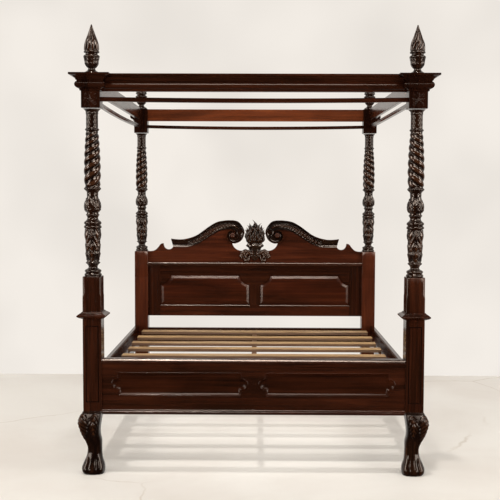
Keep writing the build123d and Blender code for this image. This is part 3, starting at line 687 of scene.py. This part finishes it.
# A finial. Cup: a ring of leaves; flame: rounded ribs that turn as they rise and sink towards the tip.
def finialPiece(corner):
    x, y = corners[corner]
    levels, radii = turningOutline(
        finial["base"], finial["baseRadius"], finial["cup"] + finial["ring"] + finial["flame"], pitch=1.4
    )
    foot, lip = finial["plain"]
    cupLow = finial["base"] + foot
    cupHigh = finial["base"] + sum(step[0] for step in finial["cup"]) - lip
    flameLow = cupHigh + lip + sum(step[0] for step in finial["ring"])
    twist = finial["twist"]["left" if x < 0 else "right"]
    depth, sink = finial["leafDepth"]

    def relief(angle, level):
        cup = leafRing(angle, (level - cupLow + 4) / (cupHigh - cupLow + 8), finial["leaves"], 0.0, 3)
        share = np.clip((level - flameLow) / (levels[-1] - flameLow), 0, 1)
        rib = np.abs(np.cos(finial["ribs"] / 2 * (angle - twist * share)))
        onCup = within(level, cupLow, cupHigh, 4, 3)
        onFlame = ease((level - flameLow) / 3) * (1 - share) ** 0.5
        return onCup * (cup * depth - sink) + onFlame * (rib**0.8 - 0.62) * finial["ribDepth"]

    body = turnedSurface(x, y, levels, radii, relief, finial["columns"])
    makePiece(f"carved_finial_{corner}", [body], materials["carvedZ"], body=f"finial_{corner}",
              stands=[f"finial_{corner}"])


for corner in corners:
    finialPiece(corner)
print("finials carved")


foot = {
    "rows": 230,
    "columns": 132,
    "levels": [0, 8, 26, 46, 70, 100, 135, 170, 205, 240, 272, 300, 322, 334],
    "halves": [54, 58, 59.5, 55, 46, 39.5, 38, 43.5, 49, 54, 59, 57, 51, 48.5],
    "offsets": [1, 2.5, 3, 1, 0, -2.5, -3, 2, 11, 16, 17, 12, 4, 0],
    "squareness": [2.6, 2.6, 2.6, 2.5, 2.4, 2.3, 2.4, 2.6, 3.0, 3.6, 4.2, 6, 12, 16],
    "knee": {"stretch": (165, 326, 50, 6), "leafTop": 322, "leafLength": 150, "depth": 6.5, "sink": 2.6},
    "mainLeaf": {"lobes": 7, "width": 0.95, "lean": 2.0},
    "sideLeaf": {"lobes": 5, "width": 0.9, "lean": 1.8},
    "toes": {"spacing": 0.80, "below": 96, "fade": 40, "reach": 2.1, "depth": 6.0, "sink": 4.2},
    "claws": {"below": 20, "fade": 12, "reach": 1.9, "depth": 2.5},
    "ridge": {"stretch": (60, 210, 20, 30), "width": 0.16, "height": 3.0},
}


# A cabriole foot: superellipse rings whose middle sways along the outer front diagonal,
# with leaves on the knee, a ridge down the shin, and toes and claws as powers of |cos| round the front.
def frontFoot(side, sign):
    level = np.linspace(0, foot["levels"][-1], foot["rows"])
    half, offset, power = (
        curveThrough(level, foot["levels"], foot[key])[:, None] for key in ("halves", "offsets", "squareness")
    )
    angle = fullTurn(foot["columns"])
    radius = half / (np.abs(np.cos(angle)) ** power + np.abs(np.sin(angle)) ** power) ** (1 / power)
    z = level[:, None]
    around = (angle - pi / 4 + pi) % tau - pi  # 0 along the outer front diagonal
    knee, toes, claws, ridge = foot["knee"], foot["toes"], foot["claws"], foot["ridge"]
    leafV = (knee["leafTop"] - z) / knee["leafLength"]
    mainLeaf = leafRelief(around / 0.85, leafV, **foot["mainLeaf"])
    sideLeaf = leafRelief((np.abs(around) - 1.15) / 0.5, leafV * 1.2, **foot["sideLeaf"])
    leaves = np.maximum(mainLeaf, 0.9 * sideLeaf) * knee["depth"] - knee["sink"]
    toe = np.abs(np.cos(around * pi / toes["spacing"])) ** 0.6
    onToes = ease((toes["below"] - z) / toes["fade"]) * ease((toes["reach"] - np.abs(around)) / 0.3)
    onClaws = ease((claws["below"] - z) / claws["fade"]) * ease((claws["reach"] - np.abs(around)) / 0.3)
    relief = within(z, *knee["stretch"]) * leaves + onToes * (toe * toes["depth"] - toes["sink"])
    relief = relief - onClaws * toe**3 * claws["depth"]
    shin = np.exp(-((around / ridge["width"]) ** 2)) * within(z, *ridge["stretch"])
    relief = relief + shin * ridge["height"]
    radius = radius + relief
    x = sign * (radius * np.cos(angle) + offset)
    y = -(radius * np.sin(angle) + offset)
    points, shadeOf = placed(x, y, z, (sign * postX, frontY, 0)), np.clip(0.5 + relief / 8, 0, 1)
    if sign > 0:
        points, shadeOf = turnedOver(points, shadeOf)
    makePiece(f"carved_foot_{side}", [withPoles(points, shadeOf)], materials["footZ"],
              stands=[f"front_foot_{side}"])


frontFoot("left", -1)
frontFoot("right", 1)
print("front feet carved")


neck = {
    # upper edge from the outer point to the top, then the spiral round the eye
    "outer": [(614, 1121), (576, 1117), (538, 1116), (479, 1122), (430, 1143), (382, 1177), (328, 1216),
              (279, 1243), (238, 1253), (180, 1257), (207, 1254)],
    "inner": [(599, 1062), (565, 1061), (530, 1061), (479, 1065), (418, 1084), (375, 1110), (327, 1141),
              (280, 1168), (238, 1184), (186, 1190), (205, 1188)],
    "eye": (163, 1148),
    "spiralRadii": [106, 92, 76, 64, 55, 48, 42, 38.5, 35, 31, 27, 23, 19],
    "firstDegrees": 66,
    "stepDegrees": 45,
    "depth": 24,
    "rows": 420,
    "columns": 34,
    "fillet": 0.16,  # shares across
    "leafMiddle": 0.58,
    "leafRun": (0.12, 0.50, 0.03, 0.03),  # shares along: from, to, eased in and out over
    "leafLength": 0.36,
    "bed": 0.62,
    "leafDepth": (0.55, 0.22),
}


# Upper and lower edge: the two given runs, each carried on into a spiral that steps round the eye.
def neckEdges():
    radii = np.array(neck["spiralRadii"], float)
    turns = np.arange(len(radii))
    angles = radians(neck["firstDegrees"]) - np.radians(neck["stepDegrees"]) * turns
    nextTurn = np.interp(turns + 8, turns, radii, right=radii[-1] - 6)  # the same heading one turn later
    headings = np.stack([-np.cos(angles), np.sin(angles)], -1)
    eye = np.array(neck["eye"])
    outer = headings * radii[:, None] + eye
    inner = headings * np.minimum(nextTurn + 2, radii - 6)[:, None] + eye
    return np.concatenate([neck["outer"][:-1], outer]), np.concatenate([neck["inner"][:-1], inner])


# A moulding swept between two edges: a fillet, a hollow and a fillet across, carved leaf along its middle.
def swanNeck(side, sign):
    outer, inner = neckEdges()
    station = np.linspace(0, len(outer) - 1, neck["rows"])
    knots = np.arange(len(outer))
    edgeOut, edgeIn = (
        np.stack([curveThrough(station, knots, edge[:, axis]) for axis in range(2)], -1)
        for edge in (outer, inner)
    )
    across = np.linspace(0, 1, neck["columns"])[None, :]
    along = (station / station[-1])[:, None]
    width = np.hypot(*(edgeIn - edgeOut).T)[:, None]
    bed, edge, middle = neck["bed"], neck["fillet"], neck["leafMiddle"]
    fillet = bed + (1 - bed) * ease((edge - across) / 0.03)
    hollow = np.sin(pi * np.clip((across - edge) / (1 - edge), 0, 1)) ** 0.8
    plain = fillet - 0.30 * hollow * (1 - ease((along - 0.10) / 0.1))
    curl = fillet - 0.34 * hollow * ease((along - 0.48) / 0.04)
    u = np.clip((across - middle) / (1 - middle), -1, 1)
    v = np.clip((along - neck["leafRun"][0]) / neck["leafLength"], 0, 1)
    leaf = leafRelief(u, v, lobes=19, width=1.0, lean=1.2)
    carvedShare = within(along, *neck["leafRun"])
    height, sink = neck["leafDepth"]
    carving = carvedShare * (leaf * height - sink) * ease((across - 0.15) / 0.03)
    depth = np.where(along < 0.47, plain, curl) + carving
    depth = depth * neck["depth"] * (1 + 0.25 * ease((along - 0.45) / 0.3)) * ease(width / 4)
    plan = edgeOut[:, None, :] + (edgeIn - edgeOut)[:, None, :] * across[..., None]
    forward = np.stack([sign * plan[..., 0], -depth, plan[..., 1]], -1)
    back = forward.copy()
    back[..., 1] = 0.5  # just inside the crest board
    points = np.concatenate([back[:, :1], forward, back[:, -1:]], 1) * mm + np.array(crestSpot)
    shadeOf = np.clip(0.2 + depth / neck["depth"] * 0.6 + carvedShare * (leaf - 0.5) * 0.5, 0, 1)
    shadeOf = np.concatenate([shadeOf[:, :1], shadeOf, shadeOf[:, -1:]], 1)
    first, last = (
        np.broadcast_to(end.mean(axis=1, keepdims=True), end.shape) for end in (points[:1], points[-1:])
    )
    points = np.concatenate([first, points, last])
    shadeOf = np.concatenate([shadeOf[:1], shadeOf, shadeOf[-1:]])
    if sign < 0:
        points, shadeOf = turnedOver(points, shadeOf)
    makePiece(f"carved_swan_neck_{side}", [(points, False, shadeOf)], materials["neckX"],
              stands=[f"swan_neck_{side}"])


swanNeck("left", -1)
swanNeck("right", 1)


rosette = {"radius": 19, "petals": 6, "stand": 34, "dome": 5, "petalRise": 3, "rim": 30, "button": 4,
           "buttonShare": 0.28}


# A turned button with petals at the eye of each scroll: a dome whose height dips between petals.
def rosettes():
    surfaces = []
    for sign in (-1, 1):
        share, angle = np.linspace(0, 1, 24)[:, None], fullTurn(48)
        petal = 0.5 + 0.5 * np.cos(rosette["petals"] * angle)
        dome = rosette["dome"] * np.sqrt(np.clip(1 - share**2, 0, 1))
        petals = rosette["petalRise"] * np.sin(pi * share) * petal
        button = rosette["button"] * np.exp(-((share / rosette["buttonShare"]) ** 2))
        height = rosette["stand"] + dome + petals - rosette["rim"] * ease((share - 0.94) / 0.06) + button
        x = sign * neck["eye"][0] + rosette["radius"] * share * np.cos(angle)
        z = neck["eye"][1] + rosette["radius"] * share * np.sin(angle)
        surfaces.append((placed(x, -height, z, crestSpot), True, 0.35 + 0.5 * petal * np.sin(pi * share)))
    makePiece("carved_rosettes", surfaces, materials["rosetteX"], stands=["scroll_rosettes"])


rosettes()
print("swan necks carved")


urn = {
    "levels": [962, 972, 985, 1005, 1030, 1048, 1058, 1064, 1069, 1076, 1080, 1087, 1091],
    "halves": [5, 15, 24, 33, 41, 45, 49, 60, 65, 65, 58, 56, 50],
    "flatness": 0.52,
    "stand": 16,
    "leaves": {"from": 968, "height": 80, "count": 8, "lobes": 4, "below": 1052, "depth": 5, "sink": 1.5},
}


# A flattened ring stack on the crest: each ring a circle squeezed front to back and moved forward.
def flattened(radius, angle, level, flatness):
    y = radius * np.sin(angle) * flatness - urn["stand"]
    return placed(radius * np.cos(angle), y, level, crestSpot)


# The urn: rings flattened front to back, with upright leaves on its body.
def urnPiece():
    level = np.linspace(urn["levels"][0], urn["levels"][-1], 110)[:, None]
    angle, leaves = fullTurn(96), urn["leaves"]
    up = (level - leaves["from"]) / leaves["height"]
    leaf = leafRing(angle, up, leaves["count"], 0.0, leaves["lobes"])
    relief = ease((leaves["below"] - level) / 5) * (leaf * leaves["depth"] - leaves["sink"])
    radius = np.interp(level, urn["levels"], urn["halves"]) + relief
    points = flattened(radius, angle, level, urn["flatness"])
    makePiece("carved_urn", [withPoles(points, np.clip(0.5 + relief / 6, 0, 1))], materials["urnX"],
              stands=["crest_urn"])


flame = {
    "levels": [1088, 1100, 1120, 1150, 1175, 1200, 1222, 1240],
    "halves": [44, 51, 53, 50, 40, 27, 14, 4],
    "flatness": 0.5,
    "rows": [  # (level, how many, height, thickness)
        (1096, 7, 48, 12.5),
        (1117, 6, 50, 12.0),
        (1138, 5, 52, 11.5),
        (1158, 5, 48, 10.0),
        (1178, 4, 46, 9.0),
        (1198, 3, 40, 7.0),
    ],
    "swing": 84,  # degrees to each side that a row of tongues reaches
    "lean": 18,
    "sway": 3.5,
    "depth": 5,
    "curl": 11,
    "tip": {"height": 66, "lean": -6, "sway": 9, "thickness": 10, "depth": 3, "curl": -7, "rows": 34},
    "basket": {"levels": (1086, 1106), "half": 49, "spread": 6, "ripples": 7, "ripple": 3},
}


# A tongue of carved wood: round rings, deeper front and back, that follow a bent line and thin to a point.
# The line rises from the root, leans evenly, sways as a sine and curls as the fourth power at its tip.
def tongue(root, height, lean, sway, thickness, depth=0.0, curl=0.0, rows=26):
    t, angle = np.linspace(0, 1, rows)[:, None], fullTurn(14)
    lineX = root[0] + lean * t + sway * np.sin(pi * t * 1.3) + curl * t**4
    lineY = root[1] - depth * np.sin(pi * t * 0.8)
    belly = thickness * (1 - t) ** 0.6 * (0.72 + 0.5 * np.sin(pi * np.clip(t * 1.2, 0, 1)))
    x = lineX + belly * (1 + 0.22 * np.cos(angle * 2)) * np.cos(angle)
    y = lineY + belly * 0.75 * np.sin(angle)
    # Painted light: the front of each tongue gets a high relief value and the back a low one, so the front is
    # painted lighter and the back darker.
    shadeOf = np.clip(0.30 + 0.55 * np.clip(-np.sin(angle), 0, 1) * np.ones_like(t), 0, 1)
    return withPoles(placed(x, y, root[2] + height * t, crestSpot), shadeOf)


# The flame: a smooth core, rows of tongues that fan out over it, one at the tip, and a rippled basket below.
def flamePiece():
    level = np.linspace(flame["levels"][0], flame["levels"][-1], 60)[:, None]
    half = np.interp(level, flame["levels"], flame["halves"])
    core = flattened(half, fullTurn(60), level, flame["flatness"])
    # The core gets a low relief value, so it is painted dark as shade among the tongues.
    surfaces = [withPoles(core, np.full(core.shape[:2], 0.1))]
    for row, (low, count, height, thickness) in enumerate(flame["rows"]):
        half = np.interp(low, flame["levels"], flame["halves"])
        for share in np.linspace(-1, 1, count):
            turn = share * radians(flame["swing"])
            root = (half * sin(turn), -half * cos(turn) * flame["flatness"] - urn["stand"], low)
            lean = flame["lean"] * share - 0.15 * half * share * row / 2
            sway = flame["sway"] if (row + round(share * 3)) % 2 else -flame["sway"]
            surfaces.append(tongue(root, height, lean, sway, thickness,
                                   depth=flame["depth"] * cos(turn), curl=flame["curl"] * share))
    surfaces.append(tongue((2, -urn["stand"], 1196), **flame["tip"]))
    basket = flame["basket"]
    low, high = basket["levels"]
    level, angle = np.linspace(low, high, 10)[:, None], fullTurn(72)
    ripple = basket["ripple"] * np.abs(np.cos(angle * basket["ripples"]))
    half = basket["half"] + basket["spread"] * ease((level - low) / 14) + ripple * ease((level - low - 2) / 6)
    shadeOf = np.clip(0.4 + ripple / 8 + 0 * level, 0, 1)
    surfaces.append(withPoles(flattened(half, angle, level, flame["flatness"]), shadeOf))
    makePiece("carved_flame", surfaces, materials["carvedX"], stands=["crest_flame"])


urnScrolls = [  # start, radius, first and last heading in degrees, thickness
    ((74, -9, 1002), 40, 200, -60, 13.0),
    ((90, -9, 990), 22, 180, -110, 10.0),
    ((60, -9, 1004), 30, 150, -70, 12.5),
    ((66, -10, 980), 26, 150, 380, 10.0),
    ((48, -9, 990), 24, 110, -90, 11.5),
    ((56, -8, 1022), 16, 180, 20, 8.0),
]


# A leaf scroll: rings along an arc that tightens as it turns, thick in its middle, with five lobes.
def leafScroll(start, radius, fromAngle, toAngle, thickness):
    t, angle = np.linspace(0, 1, 34)[:, None], fullTurn(12)
    bend = np.radians(fromAngle + (toAngle - fromAngle) * t)
    lobes = 1 + 0.15 * np.cos(tau * 5 * t)
    belly = thickness * (0.5 + 0.7 * np.sin(pi * t)) * (1 - 0.35 * t) * lobes
    reach = radius * (1 - 0.62 * t) + belly * np.cos(angle)
    x = start[0] + reach * np.cos(bend)
    y = start[1] + belly * 1.1 * np.sin(angle)
    z = start[2] + reach * np.sin(bend)
    # Painted light: the front of each scroll gets a high relief value and the back a low one, so the front is
    # painted lighter and the back darker.
    return withPoles(placed(x, y, z, crestSpot), np.clip(0.55 - 0.45 * np.sin(angle) + 0 * t, 0, 1))


def leavesPiece():  # the scrolls beside the urn, then the same ones mirrored
    surfaces = []
    for sign in (-1, 1):
        for scroll in urnScrolls:
            points, wrapped, shadeOf = leafScroll(*scroll)
            if sign < 0:
                points, shadeOf = turnedOver(points * np.array([-1, 1, 1]), shadeOf)
            surfaces.append((points, wrapped, shadeOf))
    makePiece("carved_urn_leaves", surfaces, materials["urnX"], stands=["crest_leaves"])


urnPiece()
flamePiece()
leavesPiece()
print("urn and flame carved")


rails = {
    "level": 1936.5,
    "sag": {"left": 11, "right": 2, "front": 6, "rear": 10},
    "bow": {"left": 7, "right": 0},  # how far the middle has gone sideways
    "tenon": 2,
    "section": [(-10, -11.5), (10, -11.5), (10, -3), (8.5, -1.5), (8.5, 1.5), (10, 3), (10, 9), (7, 11.5),
                (-7, 11.5), (-10, 9), (-10, 3), (-8.5, 1.5), (-8.5, -1.5), (-10, -3)],
}


# A closed section carried along a straight line that sags and bows in a parabola.
def railSurface(start, end, section, sag=0.0, outward=0.0):
    t = np.linspace(0, 1, 41)[:, None]
    along = np.array(end) - np.array(start)
    side = np.array([-along[1], along[0], 0]) / np.hypot(along[0], along[1])
    middle = 4 * t * (1 - t)
    line = np.array(start) * (1 - t) + np.array(end) * t + middle * (side * outward - np.array([0, 0, sag]))
    section = np.array(section, float)
    points = line[:, None, :] + section[None, :, :1] * side + section[None, :, 1:] * np.array([0, 0, 1.0])
    return withPoles(points[:, ::-1] * mm, np.full(points.shape[:2], 0.5))


# Two rails across and two along, each from face to face of its posts.
def curtainRails():
    z, section, sag, bow = rails["level"], rails["section"], rails["sag"], rails["bow"]
    x, front, rear = postX / mm, frontY / mm, rearY / mm
    reach = postHalf / mm - rails["tenon"]
    across = [railSurface((-x + reach, y, z), (x - reach, y, z), section, sag[side])
              for side, y in (("front", front), ("rear", rear))]
    along = [railSurface((at, front + reach, z), (at, rear - reach, z), section, sag[side], bow[side])
             for side, at in (("left", -x), ("right", x))]
    makePiece("curtain_rails_across", across, materials["frameX"], stands=["curtain_rails"])
    makePiece("curtain_rails_along", along, materials["frameY"])


curtainRails()
print("curtain rails made")


sunk = {
    "inner": 63,
    "outer": 697,
    "bottom": 412,
    "top": 532,
    "lobe": 30,
    "arcPoints": 25,
    "runPoints": 40,
    "profile": [(4, -0.5), (3.6, 0.6), (2.4, 1.8), (0.8, 2.0), (-0.6, 1.2), (-1.2, -0.6), (-2.0, -2.2),
                (-5.5, -6.5), (-9.5, -9.8), (-14, -12.3)],  # how far outside the opening, how far forward
}


# Outline of a long opening with a half round lobe in each end, corner by corner.
def lobedOutline(sign, inset):
    low, high = sunk["inner"] + inset, sunk["outer"] - inset
    bottom, top = sunk["bottom"] + inset, sunk["top"] - inset
    middle, lobe = (bottom + top) / 2, max(sunk["lobe"] - inset, 4)
    arc = np.linspace(-pi / 2, pi / 2, sunk["arcPoints"])
    run = np.linspace(low, high, sunk["runPoints"])
    outline = np.concatenate([
        np.stack([run, np.full(len(run), bottom)], -1),
        np.stack([high + lobe * np.cos(arc), middle + lobe * np.sin(arc)], -1),
        np.stack([run[::-1], np.full(len(run), top)], -1),
        np.stack([low - lobe * np.cos(arc), middle - lobe * np.sin(arc)], -1),
    ])
    return outline * (sign, 1)


# Mouldings round the sunk panels: outlines set further and further in, each at its own depth.
def panelMouldings():
    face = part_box("footboard_frame")[0][1]
    shadeOf = np.linspace(0.9, 0.4, len(sunk["profile"]))[:, None]
    surfaces = []
    for sign in (-1, 1):
        rings = []
        for inset, stand in sunk["profile"]:
            outline = lobedOutline(sign, -inset)
            rings.append(placed(outline[:, 0], -stand, outline[:, 1], (0, face, 0)))
        turned = slice(None, None, -sign)
        surfaces.append((np.stack(rings)[turned], True, shadeOf[turned]))
    makePiece("footboard_panel_mouldings", surfaces, materials["sunkX"])


capShape = {"nosing": (15, 21), "arris": 3}


# The cap: a flat board with a wide quarter round along its front.
def footboardCap():
    low, high = (np.array(corner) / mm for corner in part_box("footboard_cap"))
    middle = (low + high) / 2
    (_, front, bottom), (_, back, top) = low - middle, high - middle
    turn = np.linspace(0, pi / 2, 9)
    across, rise = capShape["nosing"]
    nose = np.stack([front + across * (1 - np.sin(turn)), top - rise * (1 - np.cos(turn))], -1)
    edge = capShape["arris"]
    flat = [(front + edge, bottom), (back - edge, bottom), (back, bottom + edge), (back, top - edge),
            (back - edge, top)]
    section = np.concatenate([flat, nose, [(front, bottom + edge)]])
    cap = railSurface((low[0], middle[1], middle[2]), (high[0], middle[1], middle[2]), section)
    makePiece("rounded_footboard_cap", [cap], materials["edgeX"], stands=["footboard_cap"])


bead = {"span": (36, 692), "level": 629, "half": 6, "stand": 4.5}


# Half round beads along the lower edges of the headboard panels.
def panelBeads():
    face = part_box("headboard_bottom_rail")[0][1] / mm
    turn = np.linspace(pi / 2, -pi / 2, 9)
    section = np.stack([-bead["stand"] * np.cos(turn), bead["half"] * np.sin(turn)], -1)
    near, far = bead["span"]
    beads = [railSurface((start, face, bead["level"]), (end, face, bead["level"]), section)
             for start, end in ((-far, -near), (near, far))]
    makePiece("headboard_panel_beads", beads, materials["edgeX"])


panelMouldings()
panelBeads()
footboardCap()
print("footboard mouldings made")


stageSizes = {"half": 9.0, "front": 12.0, "back": 1.64}
studio = {
    "view": {"lens": 68.54, "x": 0.020, "away": 4.850, "height": 1.471,
             "down": 3.55, "left": 0.46, "roll": 0.18},
    "boxes": [  # name, place, size, power, aim
        ("front_box", (0.0, -4.6, 4.6), (2.6, 0.6), 105, (0, 0, 0.8)),
        ("left_box", (-4.9, -4.9, 0.85), (2.4, 1.7), 190, (0, 0, 0.8)),
        ("right_box", (4.9, -4.9, 0.85), (2.4, 1.7), 200, (0, 0, 0.8)),
        ("under_bed", (0.0, 0.0, 0.31), (1.45, 1.95), 5.0, (0, 0, 0)),
    ],
    "boxColour": (1.0, 0.96, 0.91),
    "suns": [  # name, where it shines from, strength, width in degrees
        ("skylight", (-0.098, -0.17, 1.0), 0.95, 2.6),
        ("high_right", (0.55, -0.12, 1.0), 0.22, 6.0),
    ],
    "sunColour": (1.0, 0.965, 0.92),
    "sky": (0.865, 0.815, 0.755, 1),
    "patches": {"From Min": 0.35, "From Max": 0.65, "To Min": 0.93, "To Max": 1.04},
    "patchScale": 7.0,
    "fill": 0.84,
    "wall": (-0.05, 0.75, 0.02, 0.85),
    "windows": [  # direction towards each, cosine of its half width, brightness
        ((-0.90, -0.22, 0.36), 0.965, 17.0),
        ((0.90, -0.22, 0.36), 0.965, 17.0),
        ((0.36, -0.74, 0.56), 0.976, 13.0),
        ((-0.05, -0.52, 0.85), 0.972, 16.0),
        ((-1.0, -0.04, 0.06), 0.975, 5.0),
        ((1.0, -0.04, 0.06), 0.975, 5.0),
    ],
    "windowEdge": 0.02,
}


def floorPlane():  # one flat quad that ends behind the bed, where the wall begins
    half, front, back = stageSizes["half"], stageSizes["front"], stageSizes["back"]
    spots = [(-half, -front, 0), (half, -front, 0), (-half, back, 0), (half, back, 0)]
    mesh = bpy.data.meshes.new("studio_floor")
    mesh.from_pydata(spots, [], gridFaces(2, 2, False))
    mesh.materials.append(materials["floor"])
    piece = bpy.data.objects.new("studio_floor", mesh)
    piece.visible_glossy = False  # the gloss shows the studio, not the floor
    bpy.context.scene.collection.objects.link(piece)


def addLamp(name, kind, power, colour, direction, place=(0, 0, 0)):  # a lamp shining along a direction
    light = bpy.data.lights.new(name, kind)
    light.energy, light.color = power, colour
    lamp = bpy.data.objects.new(name, light)
    lamp.location = place
    lamp.rotation_euler = Vector(direction).to_track_quat("-Z", "Y").to_euler()
    bpy.context.scene.collection.objects.link(lamp)
    return light


def studioLights():  # soft boxes that face their aims, and two suns
    for name, place, size, power, aim in studio["boxes"]:
        light = addLamp(name, "AREA", power, studio["boxColour"], np.array(aim) - np.array(place), place)
        light.shape = "RECTANGLE"
        light.size, light.size_y = size
    for name, source, strength, width in studio["suns"]:
        light = addLamp(name, "SUN", strength, studio["sunColour"], -np.array(source))
        light.angle = radians(width)


# Brightness all round. The gloss sees a dark front that eases into the wall, plus the soft windows;
# the eye sees the wall with soft patches; everything else gets the even fill.
def studioSky():
    world = bpy.data.worlds.new("studio_world")
    world.use_nodes = True
    sky = Tree(world.node_tree)
    around = sky.node("TexCoord").outputs["Generated"]
    split = sky.node("SeparateXYZ", None, {0: around})
    gloss = Field(sky, split.outputs["Y"]).between(*studio["wall"])
    for towards, width, brightness in studio["windows"]:
        facing = sky.node("VectorMath", {"operation": "DOT_PRODUCT"},
                          {0: around, 1: Vector(towards).normalized()})
        edge = width + studio["windowEdge"]
        gloss = gloss + Field(sky, facing.outputs["Value"]).between(width, edge, 0.0, brightness)
    cloud = sky.node("TexNoise", None, {"Vector": around, "Scale": studio["patchScale"]})
    patches = sky.node("MapRange", None, {"Value": cloud.outputs[0], **studio["patches"]})
    rays = sky.node("LightPath").outputs
    seen = sky.node("Mix", None, {0: rays["Is Glossy Ray"], 2: patches.outputs["Result"], 3: gloss})
    given = sky.node("Mix", None, {0: rays["Is Diffuse Ray"], 2: seen.outputs[0], 3: studio["fill"]})
    background = sky.tree.nodes["Background"].inputs
    sky.feed(background["Strength"], given.outputs[0])
    sky.feed(background["Color"], studio["sky"])
    bpy.context.scene.world = world


def viewFromFoot():  # camera in front of the footboard, tipped down, turned left and rolled a little
    view = studio["view"]
    camera = bpy.data.cameras.new("studio_camera")
    camera.lens = view["lens"]
    camera.sensor_width = 36
    holder = bpy.data.objects.new("studio_camera", camera)
    holder.location = (view["x"], frontY - postHalf - view["away"], view["height"])
    aim = Euler((radians(90 - view["down"]), 0, radians(view["left"]))).to_quaternion()
    holder.rotation_mode = "QUATERNION"
    holder.rotation_quaternion = aim @ Quaternion((0, 0, 1), radians(view["roll"]))
    bpy.context.scene.collection.objects.link(holder)
    bpy.context.scene.camera = holder


floorPlane()
studioLights()
studioSky()
viewFromFoot()
bpy.context.scene.view_settings.view_transform = "Standard"
print("studio set")
